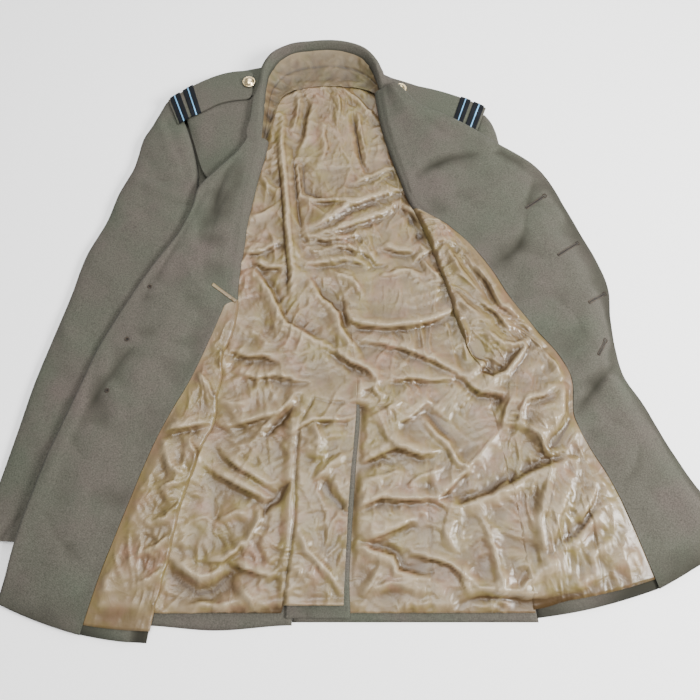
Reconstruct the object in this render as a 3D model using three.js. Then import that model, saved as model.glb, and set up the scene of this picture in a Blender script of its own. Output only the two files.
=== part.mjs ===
// Service dress jacket laid open on its back. Millimetres, +Z up, +Y towards the collar, -Y the hem.
// The underside of the back is z = 0. Left and right in the names are as seen from above.
import * as THREE from "three";

// ---- driving dimensions -------------------------------------------------------------------
const CLOTH = 1.6;              // wall of the wool cloth
const SATIN = 1.2;              // wall of the lining
const SEAM_GAP = 0.4;           // air between two pieces at a seam
const FOLD_FLOOR = 3.7;         // height of the lowest turn of an opened front over the lining
const FOLD_RETURN = 14;         // how far the turned cloth runs back under the front
const SHOULDER_HEIGHT = 18;     // padded shoulder above the table
const STRAP_LIFT = 0.6;         // strap above the shoulder
const BUTTON_DIAMETER = 17;
const BUTTON_HEIGHT = 5.6;
const BRAID_WALL = 1.0;
const HOLE_WIDTH = 3.6;         // worked buttonhole
const HEM_BOW = { left: 7, right: 11 };  // how far a front hem bows between its corners
const FRONT_ROWS = 22;
const FRONT_AIR = 1.2;          // more air between facing and outer cloth away from the sewn edge

// ---- small tools --------------------------------------------------------------------------
const lerp = (a, b, t) => a + (b - a) * t;
const clamp01 = (t) => Math.min(1, Math.max(0, t));
const smooth = (t) => clamp01(t) * clamp01(t) * (3 - 2 * clamp01(t));

/** Turns rows of numbers into objects with the named columns. */
function table(columns, rows) {
  return rows.map((row) => Object.fromEntries(columns.map((name, k) => [name, row[k]])));
}

/** Value of one column of a table at 0..1 along it, on a Catmull-Rom curve through the rows. */
function along(rows, key, t) {
  const place = clamp01(t) * (rows.length - 1);
  const i = Math.min(Math.floor(place), rows.length - 2);
  const f = place - i;
  const at = (k) => rows[Math.min(Math.max(k, 0), rows.length - 1)][key];
  const [a, b, c, d] = [at(i - 1), at(i), at(i + 1), at(i + 2)];
  const slope0 = (c - a) / 2;
  const slope1 = (d - b) / 2;
  const f2 = f * f;
  const f3 = f2 * f;
  return b * (2 * f3 - 3 * f2 + 1) + c * (3 * f2 - 2 * f3) + slope0 * (f3 - 2 * f2 + f) + slope1 * (f3 - f2);
}

/** Value of one column at a given height y, for a table whose y falls from row to row. */
function atY(rows, key, y) {
  let i = 0;
  while (i < rows.length - 2 && rows[i + 1].y > y) {
    i += 1;
  }
  const f = clamp01((rows[i].y - y) / (rows[i].y - rows[i + 1].y));
  return along(rows, key, (i + f) / (rows.length - 1));
}

/** Height added by soft folds: each row is a line from (x0,y0) to (x1,y1), a half width and a rise. */
function relief(folds, x, y) {
  let rise = 0;
  for (const fold of folds) {
    const dx = fold.x1 - fold.x0;
    const dy = fold.y1 - fold.y0;
    const t = ((x - fold.x0) * dx + (y - fold.y0) * dy) / (dx * dx + dy * dy);
    const near = clamp01(t);
    const away = Math.hypot(x - fold.x0 - near * dx, y - fold.y0 - near * dy);
    rise += fold.rise * Math.exp(-((away / fold.half) ** 2));
  }
  return rise;
}

/** Closed solid from faces on shared points, turned outwards. */
function solid(name, points, faces, material) {
  let volume = 0;
  for (const [a, b, c] of faces) {
    const [p, q, r] = [points[a], points[b], points[c]];
    volume += p[0] * (q[1] * r[2] - q[2] * r[1]) + p[1] * (q[2] * r[0] - q[0] * r[2]);
    volume += p[2] * (q[0] * r[1] - q[1] * r[0]);
  }
  const index = volume < 0 ? faces.map(([a, b, c]) => [a, c, b]) : faces;
  const geometry = new THREE.BufferGeometry();
  geometry.setAttribute("position", new THREE.Float32BufferAttribute(points.flat(), 3));
  geometry.setIndex(index.flat());
  geometry.computeVertexNormals();
  const mesh = new THREE.Mesh(geometry, material);
  mesh.name = name;
  return mesh;
}

/** Sheet with a wall: at(i, j) gives a point and its outward normal; the wall lies under it. */
function sheet(name, rows, cols, at, depth, wall, material) {
  const points = [];
  for (const level of [depth, depth + wall]) {
    for (let i = 0; i < rows; i += 1) {
      for (let j = 0; j < cols; j += 1) {
        const { p, n } = at(i, j);
        points.push([p[0] - n[0] * level, p[1] - n[1] * level, p[2] - n[2] * level]);
      }
    }
  }
  const top = (i, j) => i * cols + j;
  const under = (i, j) => rows * cols + i * cols + j;
  const faces = [];
  const quad = (a, b, c, d) => faces.push([a, b, c], [a, c, d]);
  for (let i = 0; i < rows - 1; i += 1) {
    for (let j = 0; j < cols - 1; j += 1) {
      quad(top(i, j), top(i, j + 1), top(i + 1, j + 1), top(i + 1, j));
      const low = [under(i, j), under(i, j + 1), under(i + 1, j + 1), under(i + 1, j)];
      faces.push([low[0], low[2], low[1]], [low[0], low[3], low[2]]);
    }
  }
  for (let j = 0; j < cols - 1; j += 1) {
    quad(top(0, j), under(0, j), under(0, j + 1), top(0, j + 1));
    quad(top(rows - 1, j + 1), under(rows - 1, j + 1), under(rows - 1, j), top(rows - 1, j));
  }
  for (let i = 0; i < rows - 1; i += 1) {
    quad(top(i + 1, 0), under(i + 1, 0), under(i, 0), top(i, 0));
    quad(top(i, cols - 1), under(i, cols - 1), under(i + 1, cols - 1), top(i + 1, cols - 1));
  }
  return solid(name, points, faces, material);
}

const UP = [0, 0, 1];

// ---- materials ----------------------------------------------------------------------------
const cloth = new THREE.MeshStandardMaterial({ name: "wool_cloth", color: 0x7d786f, roughness: 0.95 });
const satin = new THREE.MeshStandardMaterial({ name: "satin_lining", color: 0xbeab8c, roughness: 0.45 });
const braid = new THREE.MeshStandardMaterial({ name: "navy_braid", color: 0x0d1620, roughness: 0.9 });
const gilt = new THREE.MeshStandardMaterial({ name: "gilt", color: 0xcdb894, metalness: 1, roughness: 0.25 });
const thread = new THREE.MeshStandardMaterial({ name: "worked_thread", color: 0x55493a, roughness: 0.9 });

const jacket = new THREE.Group();
jacket.name = "service_dress_jacket";

// ---- the two opened fronts ----------------------------------------------------------------
// A row runs from the front edge over the facing/lining seam to the roll over the back.
// wrap 1: the facing itself turns over the roll. wrap 0: the lining does.
const FRONT = ["edgeX", "edgeY", "seamX", "seamY", "rollX", "rollY", "edgeZ", "midZ", "seamZ", "rollZ", "wrap"];

const FRONT_LEFT = table(FRONT, [
  [-134, 287, -116, 284, -115, 284, 22, 22, 21, 20, 1],
  [-145, 266, -119, 262, -118, 262, 22, 22, 21, 19, 1],
  [-168, 239, -125, 232, -124, 232, 22, 21, 19, 17, 1],
  [-191, 212, -130, 198, -129, 198, 22, 20, 17, 15, 1],
  [-199, 182, -135, 165, -134, 165, 21, 20, 16, 14, 1],
  [-212, 148, -137, 133, -136, 133, 21, 19, 15, 13, 1],
  [-236, 109, -140, 103, -139, 103, 21, 19, 14, 12, 1],
  [-251, 84, -143, 73, -140, 73, 20, 19, 13, 11, 1],
  [-266, 56, -151, 52, -138, 50, 20, 19, 13, 11, 0],
  [-280, 28, -163, 18, -145, 17, 20, 19, 12, 11, 0],
  [-295, -5, -177, -20, -152, -13, 20, 19, 12, 11, 0],
  [-308, -45, -190, -51, -155, -50, 20, 19, 13, 11, 0],
  [-321, -84, -204, -78, -160, -88, 20, 18, 13, 11, 0],
  [-336, -130, -221, -117, -172, -128, 20, 18, 13, 10, 0],
  [-349, -179, -240, -172, -184, -172, 19, 17, 11, 10, 0],
  [-358, -218, -253, -212, -193, -212, 17, 15, 10, 9, 0],
  [-366, -254, -268, -256, -202, -258, 10, 11, 8, 8, 0],
  [-373, -282, -281, -306, -211, -321, 4.5, 5, 5.5, 8, 0],
]);

const FRONT_RIGHT = table(FRONT, [
  [62, 362, 43, 360, 42, 360, 33.5, 32, 24, 21, 1],
  [92, 330, 48, 320, 47, 320, 31, 30, 23, 20, 1],
  [124, 315, 54, 290, 53, 290, 29, 27, 22, 19, 1],
  [155, 297, 62, 260, 61, 260, 28.5, 25, 20, 18, 1],
  [188, 275, 71, 230, 70, 230, 25, 22, 18, 16, 1],
  [232, 250, 82, 199, 80, 198, 18, 19, 16, 15, 1],
  [256, 225, 121, 161, 91, 172, 12, 18, 15, 14, 0],
  [274, 189, 147, 136, 101, 145, 8, 17, 14, 14, 0],
  [291, 152, 172, 102, 111, 114, 6, 16, 13, 13, 0],
  [307, 115, 190, 68, 119, 88, 5, 16, 13, 13, 0],
  [317, 78, 205, 44, 126, 62, 5, 16, 13, 12, 0],
  [315, 40, 222, 20, 133, 30, 5, 16, 12, 12, 0],
  [316, 0, 245, -10, 142, 0, 5, 15, 12, 11, 0],
  [322, -35, 257, -42, 155, -28, 5, 14, 13, 10, 0],
  [340, -68, 255, -84, 165, -70, 5, 14, 13, 9.5, 0],
  [361, -115, 268, -118, 174, -115, 5, 14, 13, 9, 0],
  [385, -160, 287, -153, 182, -160, 5, 13, 12, 9, 0],
  [410, -190, 306, -196, 189, -210, 5, 12, 11, 8.5, 0],
  [428, -212, 328, -257, 197, -297, 4.5, 5, 5.5, 8, 0],
]);

const FOLD = ["x0", "y0", "x1", "y1", "half", "rise"];

const FOLDS_LEFT = table(FOLD, [
  [-185, 190, -225, 100, 14, 2.2],
  [-150, 190, -165, 120, 16, 1.5],
  [-235, 40, -200, 20, 16, 1.6],
  [-262, -20, -215, -60, 18, 1.8],
  [-300, -120, -250, -150, 20, 1.6],
  [-325, -60, -345, -170, 14, 1.2],
  [-215, -150, -235, -250, 12, 1.8],
  [-180, -130, -200, -230, 10, 1.4],
]);

const FOLDS_RIGHT = table(FOLD, [
  [110, 270, 175, 262, 20, 2.6],
  [175, 262, 225, 215, 18, 2.2],
  [120, 230, 190, 205, 20, 1.6],
  [215, 160, 262, 175, 14, 1.6],
  [225, 90, 275, 100, 16, 1.8],
  [215, 40, 285, 45, 20, 2.0],
  [275, -10, 305, -60, 16, 1.8],
  [235, -60, 215, -105, 14, 3.4],
  [185, -60, 250, -100, 16, 2.6],
  [330, -90, 300, -170, 20, 1.6],
  [230, -160, 215, -250, 16, 2.4],
  [265, -170, 290, -235, 14, 1.8],
]);

/** One front at 0..1 down its length: its lines in plan, its turn and where the seam falls. */
function frontRow(rows, t, middle) {
  const row = Object.fromEntries(FRONT.map((key) => [key, along(rows, key, t)]));
  const facing = Math.hypot(row.seamX - row.edgeX, row.seamY - row.edgeY);
  const lining = Math.hypot(row.rollX - row.seamX, row.rollY - row.seamY);
  const flat = facing + lining;
  const reach = Math.hypot(row.rollX - row.edgeX, row.rollY - row.edgeY);
  const inward = [(row.rollX - row.edgeX) / reach, (row.rollY - row.edgeY) / reach];
  const radius = (row.rollZ - FOLD_FLOOR) / 2;
  const turned = flat + Math.PI * radius;
  const seam = lerp(facing, turned + 5, clamp01(row.wrap));
  const change = Math.abs(along(rows, "wrap", t - 0.07) - along(rows, "wrap", t + 0.07));
  const bow = HEM_BOW[rows === FRONT_LEFT ? "left" : "right"] * smooth((t - 0.86) / 0.14);
  const crossing = clamp01(change);
  const open = SEAM_GAP / 2 + 1.8 * crossing;
  return { ...row, facing, lining, flat, inward, radius, turned, seam, open, crossing, bow, middle };
}

/** Height of the top of a front at a distance from its edge, without the folds. */
function frontHeight(row, s) {
  const mid = row.facing * row.middle;
  if (s < mid) {
    return lerp(row.edgeZ, row.midZ, smooth(s / mid));
  }
  if (s < row.facing) {
    return lerp(row.midZ, row.seamZ, smooth((s - mid) / (row.facing - mid)));
  }
  return lerp(row.seamZ, row.rollZ, smooth((s - row.facing) / Math.max(row.lining, 0.1)));
}

/** Point and outward normal on the upper side of a front, a distance s from its edge. */
function frontPoint(row, folds, s) {
  if (s <= row.flat) {
    const onFacing = s < row.facing;
    const f = onFacing ? s / row.facing : (s - row.facing) / Math.max(row.lining, 0.1);
    const x = onFacing ? lerp(row.edgeX, row.seamX, f) : lerp(row.seamX, row.rollX, f);
    const y = onFacing ? lerp(row.edgeY, row.seamY, f) : lerp(row.seamY, row.rollY, f);
    const calm = smooth((row.flat - s) / 18) * smooth(s / 12);
    const bow = row.bow * 4 * (s / row.flat) * (1 - s / row.flat);
    return { p: [x, y - bow, frontHeight(row, s) + calm * relief(folds, x, y)], n: UP };
  }
  const [ix, iy] = row.inward;
  if (s <= row.turned) {
    const turn = (s - row.flat) / row.radius;
    const out = row.radius * Math.sin(turn);
    const z = row.rollZ - row.radius + row.radius * Math.cos(turn);
    const n = [ix * Math.sin(turn), iy * Math.sin(turn), Math.cos(turn)];
    return { p: [row.rollX + ix * out, row.rollY + iy * out, z], n };
  }
  const back = s - row.turned;
  return { p: [row.rollX - ix * back, row.rollY - iy * back, FOLD_FLOOR], n: [0, 0, -1] };
}

/** Distances from the edge of the columns of the facing and of the lining in one row. */
function frontColumns(row) {
  const turnStart = Math.min(row.flat - FOLD_RETURN - 4, row.seam - 10) - 14 * row.crossing;
  const facing = [0, 0.12, 0.3, 0.5, 0.7, 0.87].map((f) => f * turnStart);
  const outer = [...facing];
  const tail = row.seam - row.open - turnStart;
  for (const f of [0, 0.3, 0.44, 0.58, 0.72, 0.86, 1]) {
    facing.push(turnStart + f * tail);
  }
  for (let k = 0; k <= 3; k += 1) {
    outer.push(lerp(turnStart, row.flat - FOLD_RETURN - 2, k / 3) - k * 4 * row.crossing);
  }
  const start = row.seam + row.open;
  const over = Math.max(start + 2, row.flat);
  const under = Math.max(over + 2, row.turned);
  const end = Math.max(under + 3, row.turned + FOLD_RETURN);
  const lining = [0, 0.33, 0.66].map((f) => lerp(start, over, f));
  for (let k = 0; k <= 5; k += 1) {
    lining.push(lerp(over, under, k / 5));
  }
  lining.push(end);
  return { facing, lining, outer, turnStart };
}

/** Facing, lining and outer cloth of one front; the outer cloth has the facing's rows and columns. */
function buildFront(side, rows, folds, middle) {
  const grid = [];
  for (let i = 0; i < FRONT_ROWS; i += 1) {
    const row = frontRow(rows, i / (FRONT_ROWS - 1), middle);
    grid.push({ row, ...frontColumns(row) });
  }
  const onFacing = (i, j) => frontPoint(grid[i].row, folds, grid[i].facing[j]);
  const onLining = (i, j) => frontPoint(grid[i].row, folds, grid[i].lining[j]);
  const onOuter = (i, j) => {
    const s = grid[i].outer[j];
    const { p } = frontPoint(grid[i].row, s < grid[i].turnStart - 1 ? folds : [], s);
    const air = (FRONT_AIR + grid[i].row.crossing) * smooth(s / 40);
    return { p: [p[0], p[1], p[2] - air], n: UP };
  };
  const { facing, lining, outer } = grid[0];
  const depth = CLOTH + SEAM_GAP;
  jacket.add(sheet(`facing_${side}`, FRONT_ROWS, facing.length, onFacing, 0, CLOTH, cloth));
  jacket.add(sheet(`front_lining_${side}`, FRONT_ROWS, lining.length, onLining, 0, SATIN, satin));
  jacket.add(sheet(`front_${side}`, FRONT_ROWS, outer.length, onOuter, depth, CLOTH, cloth));
}

buildFront("left", FRONT_LEFT, FOLDS_LEFT, 0.45);
buildFront("right", FRONT_RIGHT, FOLDS_RIGHT, 0.24);

// ---- back, two halves on the table --------------------------------------------------------
const BACK = table(["y", "left", "middle", "right"], [
  [398, -122, -30, 40],
  [391, -160, -30, 42],
  [384, -184, -31, 48],
  [374, -202, -31, 70],
  [363, -216, -31, 106],
  [350, -228, -32, 146],
  [334, -225, -33, 166],
  [310, -206, -34, 157],
  [285, -196, -35, 148],
  [245, -188, -37, 138],
  [200, -187, -39, 133],
  [100, -192, -43, 138],
  [0, -200, -47, 150],
  [-100, -222, -51, 170],
  [-200, -238, -56, 184],
  [-304, -244, -61, 198],
]);

function buildBack(side, from, to, bend) {
  const levels = [398, 391, 384, 374, 363, 350, 334, 318, 302, 270, 230, 180, 100, 20, -60, -140, -220, -304];
  const rows = levels.length;
  const cols = 5;
  const at = (i, j) => {
    const y = levels[i];
    const a = atY(BACK, from, y) + (from === "middle" ? SEAM_GAP / 2 : 0);
    const b = atY(BACK, to, y) - (to === "middle" ? SEAM_GAP / 2 : 0);
    const x = lerp(a, b, j / (cols - 1));
    const low = i === rows - 1 ? bend(x) : 0;
    return { p: [x, y + low, CLOTH], n: UP };
  };
  jacket.add(sheet(`back_${side}`, rows, cols, at, 0, CLOTH, cloth));
}

buildBack("left", "left", "middle", (x) => -5 * smooth(1 - Math.abs(x + 140) / 80));
buildBack("right", "middle", "right", () => 3);

// ---- back lining --------------------------------------------------------------------------
// lift: how far the lining climbs at its sides towards the collar. base: what it lies on.
const LINING = table(["y", "left", "middle", "right", "liftLeft", "liftRight", "base"], [
  [386, -84, -29, 18, 7, 7, 0],
  [372, -92, -27, 32, 9, 0, 0],
  [356, -106, -26, 44, 9, 0, 0],
  [336, -115, -25, 53, 8, 0, 0],
  [310, -118, -23, 60, 4, 0, 0],
  [286, -118, -21, 66, 0, 0, 0],
  [250, -134, -18, 74, 0, 0, 0],
  [200, -142, -14, 90, 0, 0, 0],
  [150, -148, -9, 112, 0, 0, 0],
  [100, -152, -5, 127, 0, 0, 0],
  [50, -152, 0, 137, 0, 0, 0],
  [0, -162, 4, 146, 0, 0, 0],
  [-34, -166, 7, 152, 0, 0, 0],
  [-60, -169, 7, 158, 0, 0, 4.4],
  [-90, -175, 6, 164, 0, 0, 4.4],
  [-135, -188, 2, 172, 0, 0, 4.4],
  [-180, -198, -2, 180, 0, 0, 4.4],
  [-240, -210, -5, 188, 0, 0, 4.4],
  [-292, -222, -7, 192, 0, 0, 4.4],
]);

const FOLDS_LINING = table(FOLD, [
  [-96, 300, -92, 120, 13, 5.0],
  [-70, 270, -68, 150, 11, 4.0],
  [-78, 210, -20, 236, 12, 3.5],
  [-20, 236, 40, 262, 12, 3.0],
  [-50, 90, -18, 40, 13, 6.0],
  [-18, 40, 10, -8, 12, 5.5],
  [-108, 90, -62, 30, 11, 4.0],
  [-60, 28, -24, 18, 11, 3.5],
  [2, 40, 62, 34, 12, 5.0],
  [62, 34, 112, 58, 12, 4.5],
  [-10, 320, 14, 262, 10, 3.5],
  [-60, 330, -40, 290, 10, 2.5],
  [30, 190, 78, 172, 12, 4.0],
  [-40, 150, 40, 130, 13, 3.5],
  [40, 110, 100, 96, 12, 3.5],
  [-130, -20, -80, -45, 11, 3.5],
  [-118, -60, -60, -70, 10, 3.0],
  [-150, -120, -90, -150, 12, 3.5],
  [-140, -190, -85, -220, 12, 4.5],
  [-165, -240, -110, -262, 11, 4.0],
  [-60, -120, -58, -280, 8, 2.5],
  [-45, -110, -20, -170, 9, 3.0],
  [-40, -200, -18, -262, 9, 2.5],
  [25, -40, 90, -62, 12, 4.0],
  [100, -40, 140, -70, 11, 3.5],
  [30, -110, 80, -150, 12, 4.5],
  [90, -120, 140, -160, 12, 4.0],
  [35, -190, 100, -205, 12, 3.5],
  [60, -240, 120, -250, 11, 3.5],
  [110, -200, 155, -240, 11, 3.5],
]);

/** Height of the top of the back lining; calm keeps it flat where another piece lies on it. */
function liningHeight(x, y, calm, lift, base) {
  const rest = CLOTH + SEAM_GAP + SATIN;
  return rest + lift + base + calm * relief(FOLDS_LINING, x, y);
}

function buildLining(side) {
  const isLeft = side === "left";
  const rows = 43;
  const cols = isLeft ? 11 : 12;
  const at = (i, j) => {
    const y = lerp(386, -292, i / (rows - 1));
    const rim = atY(LINING, side, y);
    const vent = smooth((-72 - y) / 14);
    const middle = atY(LINING, "middle", y) + (isLeft ? -SEAM_GAP / 2 : SEAM_GAP / 2 - 16 * vent);
    const f = j / (cols - 1);
    const x = lerp(rim, middle, f);
    const lift = Math.max(0, atY(LINING, isLeft ? "liftLeft" : "liftRight", y)) * (1 - smooth(f * 2.4));
    const base = isLeft ? Math.max(0, atY(LINING, "base", y)) * smooth((x + 78) / 14) : 0;
    const inward = Math.abs(x - rim);
    const overVent = isLeft ? 1 : smooth((x - middle - 34 * smooth((-50 - y) / 20)) / 16);
    const calm = smooth((inward - 22) / 16) * overVent * smooth((y + 294) / 26);
    return { p: [x, y, liningHeight(x, y, calm, lift, base)], n: UP };
  };
  jacket.add(sheet(`back_lining_${side}`, rows, cols, at, 0, SATIN, satin));
}

buildLining("left");
buildLining("right");

// ---- vent flap: the left half of the back laps over the right below y = -66 -----------------
const VENT = table(["y", "left", "right"], [
  [-68, -58, 11],
  [-90, -58, 11],
  [-135, -60, 7],
  [-180, -61, 3],
  [-215, -62, 1],
  [-258, -66, -0.5],
  [-297, -68, 1.5],
]);

function buildVent() {
  const rows = 12;
  const cols = 6;
  const at = (i, j) => {
    const y = lerp(-68, -297, i / (rows - 1));
    const x = lerp(atY(VENT, "left", y), atY(VENT, "right", y), j / (cols - 1));
    const over = smooth((x + 46) / 16);
    return { p: [x, y, lerp(2 * CLOTH + SEAM_GAP, 5.2, over)], n: UP };
  };
  jacket.add(sheet("vent_flap", rows, cols, at, 0, CLOTH, cloth));
}

buildVent();

// ---- front shoulders, face up under the opened fronts --------------------------------------
const SHOULDER = ["farX", "farY", "nearX", "nearY"];

const SHOULDER_LEFT = table(SHOULDER, [
  [-229, 350, -213, 306],
  [-216, 363, -203, 276],
  [-202, 374, -190, 238],
  [-184, 384, -174, 222],
  [-164, 391, -158, 220],
  [-146, 395, -142, 226],
  [-124, 400, -127, 240],
]);

const SHOULDER_RIGHT = table(SHOULDER, [
  [166, 334, 158, 300],
  [150, 346, 150, 296],
  [132, 354, 136, 294],
  [112, 360, 118, 298],
  [92, 366, 98, 306],
  [72, 372, 78, 322],
  [54, 378, 62, 340],
]);

/** Height of a shoulder: a padded ridge near its far edge that slopes to the chest. */
function shoulderHeight(f) {
  return SHOULDER_HEIGHT - 5.5 * smooth((f - 0.25) / 0.75) - 2.5 * (1 - smooth(f / 0.2));
}

function buildShoulder(side, rows) {
  const cols = 9;
  const steps = [-2, -1, 0, 0.08, 0.22, 0.4, 0.6, 0.8, 1];
  const at = (i, j) => {
    const t = j / (cols - 1);
    const f = Math.max(steps[i], 0);
    const x = lerp(along(rows, "farX", t), along(rows, "nearX", t), f);
    const y = lerp(along(rows, "farY", t), along(rows, "nearY", t), f);
    const down = Math.min(steps[i], 0);
    const z = shoulderHeight(f) + down * 6.3;
    const out = down === 0 ? 0 : 1.4;
    const n = down === 0 ? UP : [0, 0.9, 0.44];
    return { p: [x, y + out, z], n };
  };
  jacket.add(sheet(`shoulder_${side}`, steps.length, cols, at, 0, CLOTH, cloth));
}

buildShoulder("left", SHOULDER_LEFT);
buildShoulder("right", SHOULDER_RIGHT);

// ---- shoulder straps with braid bands and buttons ------------------------------------------
// t runs from the sleeve end to the collar, w from the far edge to the near edge.
const STRAP = ["farX", "farY", "nearX", "nearY", "farZ", "nearZ"];

const STRAP_LEFT = table(STRAP, [
  [-243, 345, -227, 307, 18, 17.5],
  [-226, 357, -211, 317, 19, 19.2],
  [-207, 370, -193, 326, 19.6, 20],
  [-184, 382, -174, 337, 20, 20.2],
  [-163, 389, -156, 342, 20.2, 20.2],
  [-143, 391, -136, 345, 20.3, 20.2],
  [-131, 386, -130, 352, 20.4, 20.3],
]);

const STRAP_RIGHT = table(STRAP, [
  [181, 333, 167, 297, 17.5, 17.2],
  [163, 342, 149, 304, 18.8, 19],
  [144, 350, 132, 313, 19.6, 19.8],
  [122, 358, 114, 322, 20, 20],
  [101, 364, 97, 330, 20.2, 20],
  [81, 368, 79, 338, 20.3, 20.2],
  [61, 366, 64, 345, 20.3, 20.2],
]);

const STRAP_STEPS = [
  0, 0.035, 0.075, 0.112, 0.15, 0.168, 0.185, 0.225, 0.262, 0.3, 0.4, 0.52, 0.64, 0.76, 0.88, 1,
];
const STRAP_ACROSS = [0, 0.08, 0.3, 0.5, 0.7, 0.92, 1];

function strapPoint(rows, t, w) {
  const x = lerp(along(rows, "farX", t), along(rows, "nearX", t), w);
  const y = lerp(along(rows, "farY", t), along(rows, "nearY", t), w);
  const crown = 0.9 * (1 - (2 * w - 1) ** 4);
  const z = lerp(along(rows, "farZ", t), along(rows, "nearZ", t), w) + STRAP_LIFT + crown;
  return { p: [x, y, z], n: UP };
}

/** Part of a strap between two of its steps, moved out by a distance. */
function strapPiece(name, rows, from, to, wall, depth, material, edges) {
  const steps = STRAP_STEPS.slice(from, to + 1);
  const at = (i, j) => strapPoint(rows, steps[i], edges[j]);
  jacket.add(sheet(name, steps.length, edges.length, at, depth, wall, material));
}

for (const [side, rows] of [["left", STRAP_LEFT], ["right", STRAP_RIGHT]]) {
  strapPiece(`strap_${side}`, rows, 0, 15, CLOTH, 0, cloth, STRAP_ACROSS);
  strapPiece(`braid_outer_${side}`, rows, 1, 4, BRAID_WALL, -BRAID_WALL - 0.3, braid, STRAP_ACROSS);
  strapPiece(`braid_inner_${side}`, rows, 6, 9, BRAID_WALL, -BRAID_WALL - 0.3, braid, STRAP_ACROSS);
}

// ---- domed buttons -------------------------------------------------------------------------
function buildButton(name, x, y, z) {
  const radius = BUTTON_DIAMETER / 2;
  const profile = [
    [0, 0], [radius - 1.2, 0], [radius, 0.9], [radius, 1.8], [radius - 0.9, 2.3],
    [radius * 0.82, 3.1], [radius * 0.6, 4.5], [radius * 0.32, 5.3], [0, BUTTON_HEIGHT],
  ];
  const turns = 18;
  const points = [];
  const faces = [];
  const ring = (k) => (k === 0 ? 0 : 1 + (k - 1) * turns);
  profile.forEach(([r, h], k) => {
    const pole = k === 0 || k === profile.length - 1;
    for (let a = 0; a < (pole ? 1 : turns); a += 1) {
      const angle = (2 * Math.PI * a) / turns;
      points.push([x + r * Math.cos(angle), y + r * Math.sin(angle), z + h]);
    }
  });
  const last = ring(profile.length - 1);
  for (let a = 0; a < turns; a += 1) {
    const b = (a + 1) % turns;
    faces.push([0, 1 + b, 1 + a]);
    for (let k = 1; k < profile.length - 2; k += 1) {
      faces.push([ring(k) + a, ring(k) + b, ring(k + 1) + b], [ring(k) + a, ring(k + 1) + b, ring(k + 1) + a]);
    }
    faces.push([ring(profile.length - 2) + a, ring(profile.length - 2) + b, last]);
  }
  jacket.add(solid(name, points, faces, gilt));
}

buildButton("button_left", -135.5, 370, 22.4);
buildButton("button_right", 67, 359, 22.4);

// ---- collar: from the left end round the neck to the right ----------------------------------
const COLLAR = table(["inX", "inY", "rimX", "rimY", "outX", "outY", "inZ", "rimZ", "outZ"], [
  [-115, 285, -124, 286, -135, 288, 21, 24, 23],
  [-114, 310, -122, 311, -131, 313, 20.5, 25, 23.5],
  [-113, 338, -121, 340, -129, 342, 20, 26, 24],
  [-112, 362, -117, 364, -122, 366, 20, 28, 25],
  [-108, 384, -114, 391, -119, 396, 19, 29, 23],
  [-96, 404, -104, 412, -110, 418, 19, 30, 4],
  [-78, 417, -82, 426, -84, 433, 19, 30, 3],
  [-54, 422, -56, 431, -57, 438, 19, 30, 3],
  [-28, 424, -28, 433, -28, 440, 19, 30, 3],
  [-6, 421, -4, 430, -2, 437, 19, 30, 3],
  [14, 412, 19, 420, 24, 426, 19, 30, 3],
  [27, 396, 34, 402, 41, 407, 19, 29, 4],
  [34, 380, 42, 385, 52, 388, 19.5, 28, 21.5],
  [39, 367, 47, 370, 56, 373, 20, 26, 24.5],
]);

function buildCollar() {
  const rows = 26;
  const across = [0, 0.3, 0.55, 0.8, 1.0, 1.25, 1.6, 2];
  const at = (i, j) => {
    const t = i / (rows - 1);
    const value = (key) => along(COLLAR, key, t);
    const f = across[j];
    const inner = Math.min(f, 1);
    const outer = Math.max(f - 1, 0);
    const bow = Math.sin((Math.PI / 2) * inner);
    const fall = 1 - Math.cos((Math.PI / 2) * outer);
    const x = lerp(value("inX"), value("rimX"), inner) + (value("outX") - value("rimX")) * Math.sin((Math.PI / 2) * outer);
    const y = lerp(value("inY"), value("rimY"), inner) + (value("outY") - value("rimY")) * Math.sin((Math.PI / 2) * outer);
    const z = lerp(value("inZ"), value("rimZ"), bow) + (value("outZ") - value("rimZ")) * fall;
    const turn = lerp(-0.75, 1.1, f / 2) * (i > 7 && i < 22 ? 1 : 0.5);
    const dx = value("outX") - value("inX");
    const dy = value("outY") - value("inY");
    const size = Math.hypot(dx, dy);
    const n = [(dx / size) * Math.sin(turn), (dy / size) * Math.sin(turn), Math.cos(turn)];
    return { p: [x, y, z], n };
  };
  jacket.add(sheet("collar", rows, across.length, at, 0, 2, cloth));
}

buildCollar();

// ---- neck lining: inside the collar stand down to the back lining ---------------------------
const NECK = table(["topX", "topY", "topZ", "lowX", "lowY", "lowZ"], [
  [-110, 368, 16.6, -97, 372, 14],
  [-106, 388, 16.2, -89, 387, 12],
  [-97, 405, 16, -78, 389.5, 8],
  [-78, 418, 16, -64, 390.5, 4.5],
  [-54, 423.5, 16, -48, 391, 3.4],
  [-28, 425.5, 16, -28, 391.5, 3.4],
  [-6, 422.5, 16, -10, 391, 3.4],
  [14, 413.5, 16, 6, 390, 5],
  [28, 397, 16, 18, 388.5, 9],
  [34, 385, 16.2, 25, 387, 12],
]);

function buildNeckLining() {
  const rows = 14;
  const cols = 5;
  const at = (i, j) => {
    const t = i / (rows - 1);
    const value = (key) => along(NECK, key, t);
    const f = j / (cols - 1);
    const x = lerp(value("topX"), value("lowX"), f);
    const y = lerp(value("topY"), value("lowY"), f);
    return { p: [x, y, lerp(value("topZ"), value("lowZ"), 1 - (1 - f) ** 1.5)], n: UP };
  };
  jacket.add(sheet("neck_lining", rows, cols, at, 0, SATIN, satin));
}

buildNeckLining();

// ---- sleeves: flattened tubes on the table, open at the cuff --------------------------------
const SLEEVE = ["outX", "outY", "inX", "inY", "height"];

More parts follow.
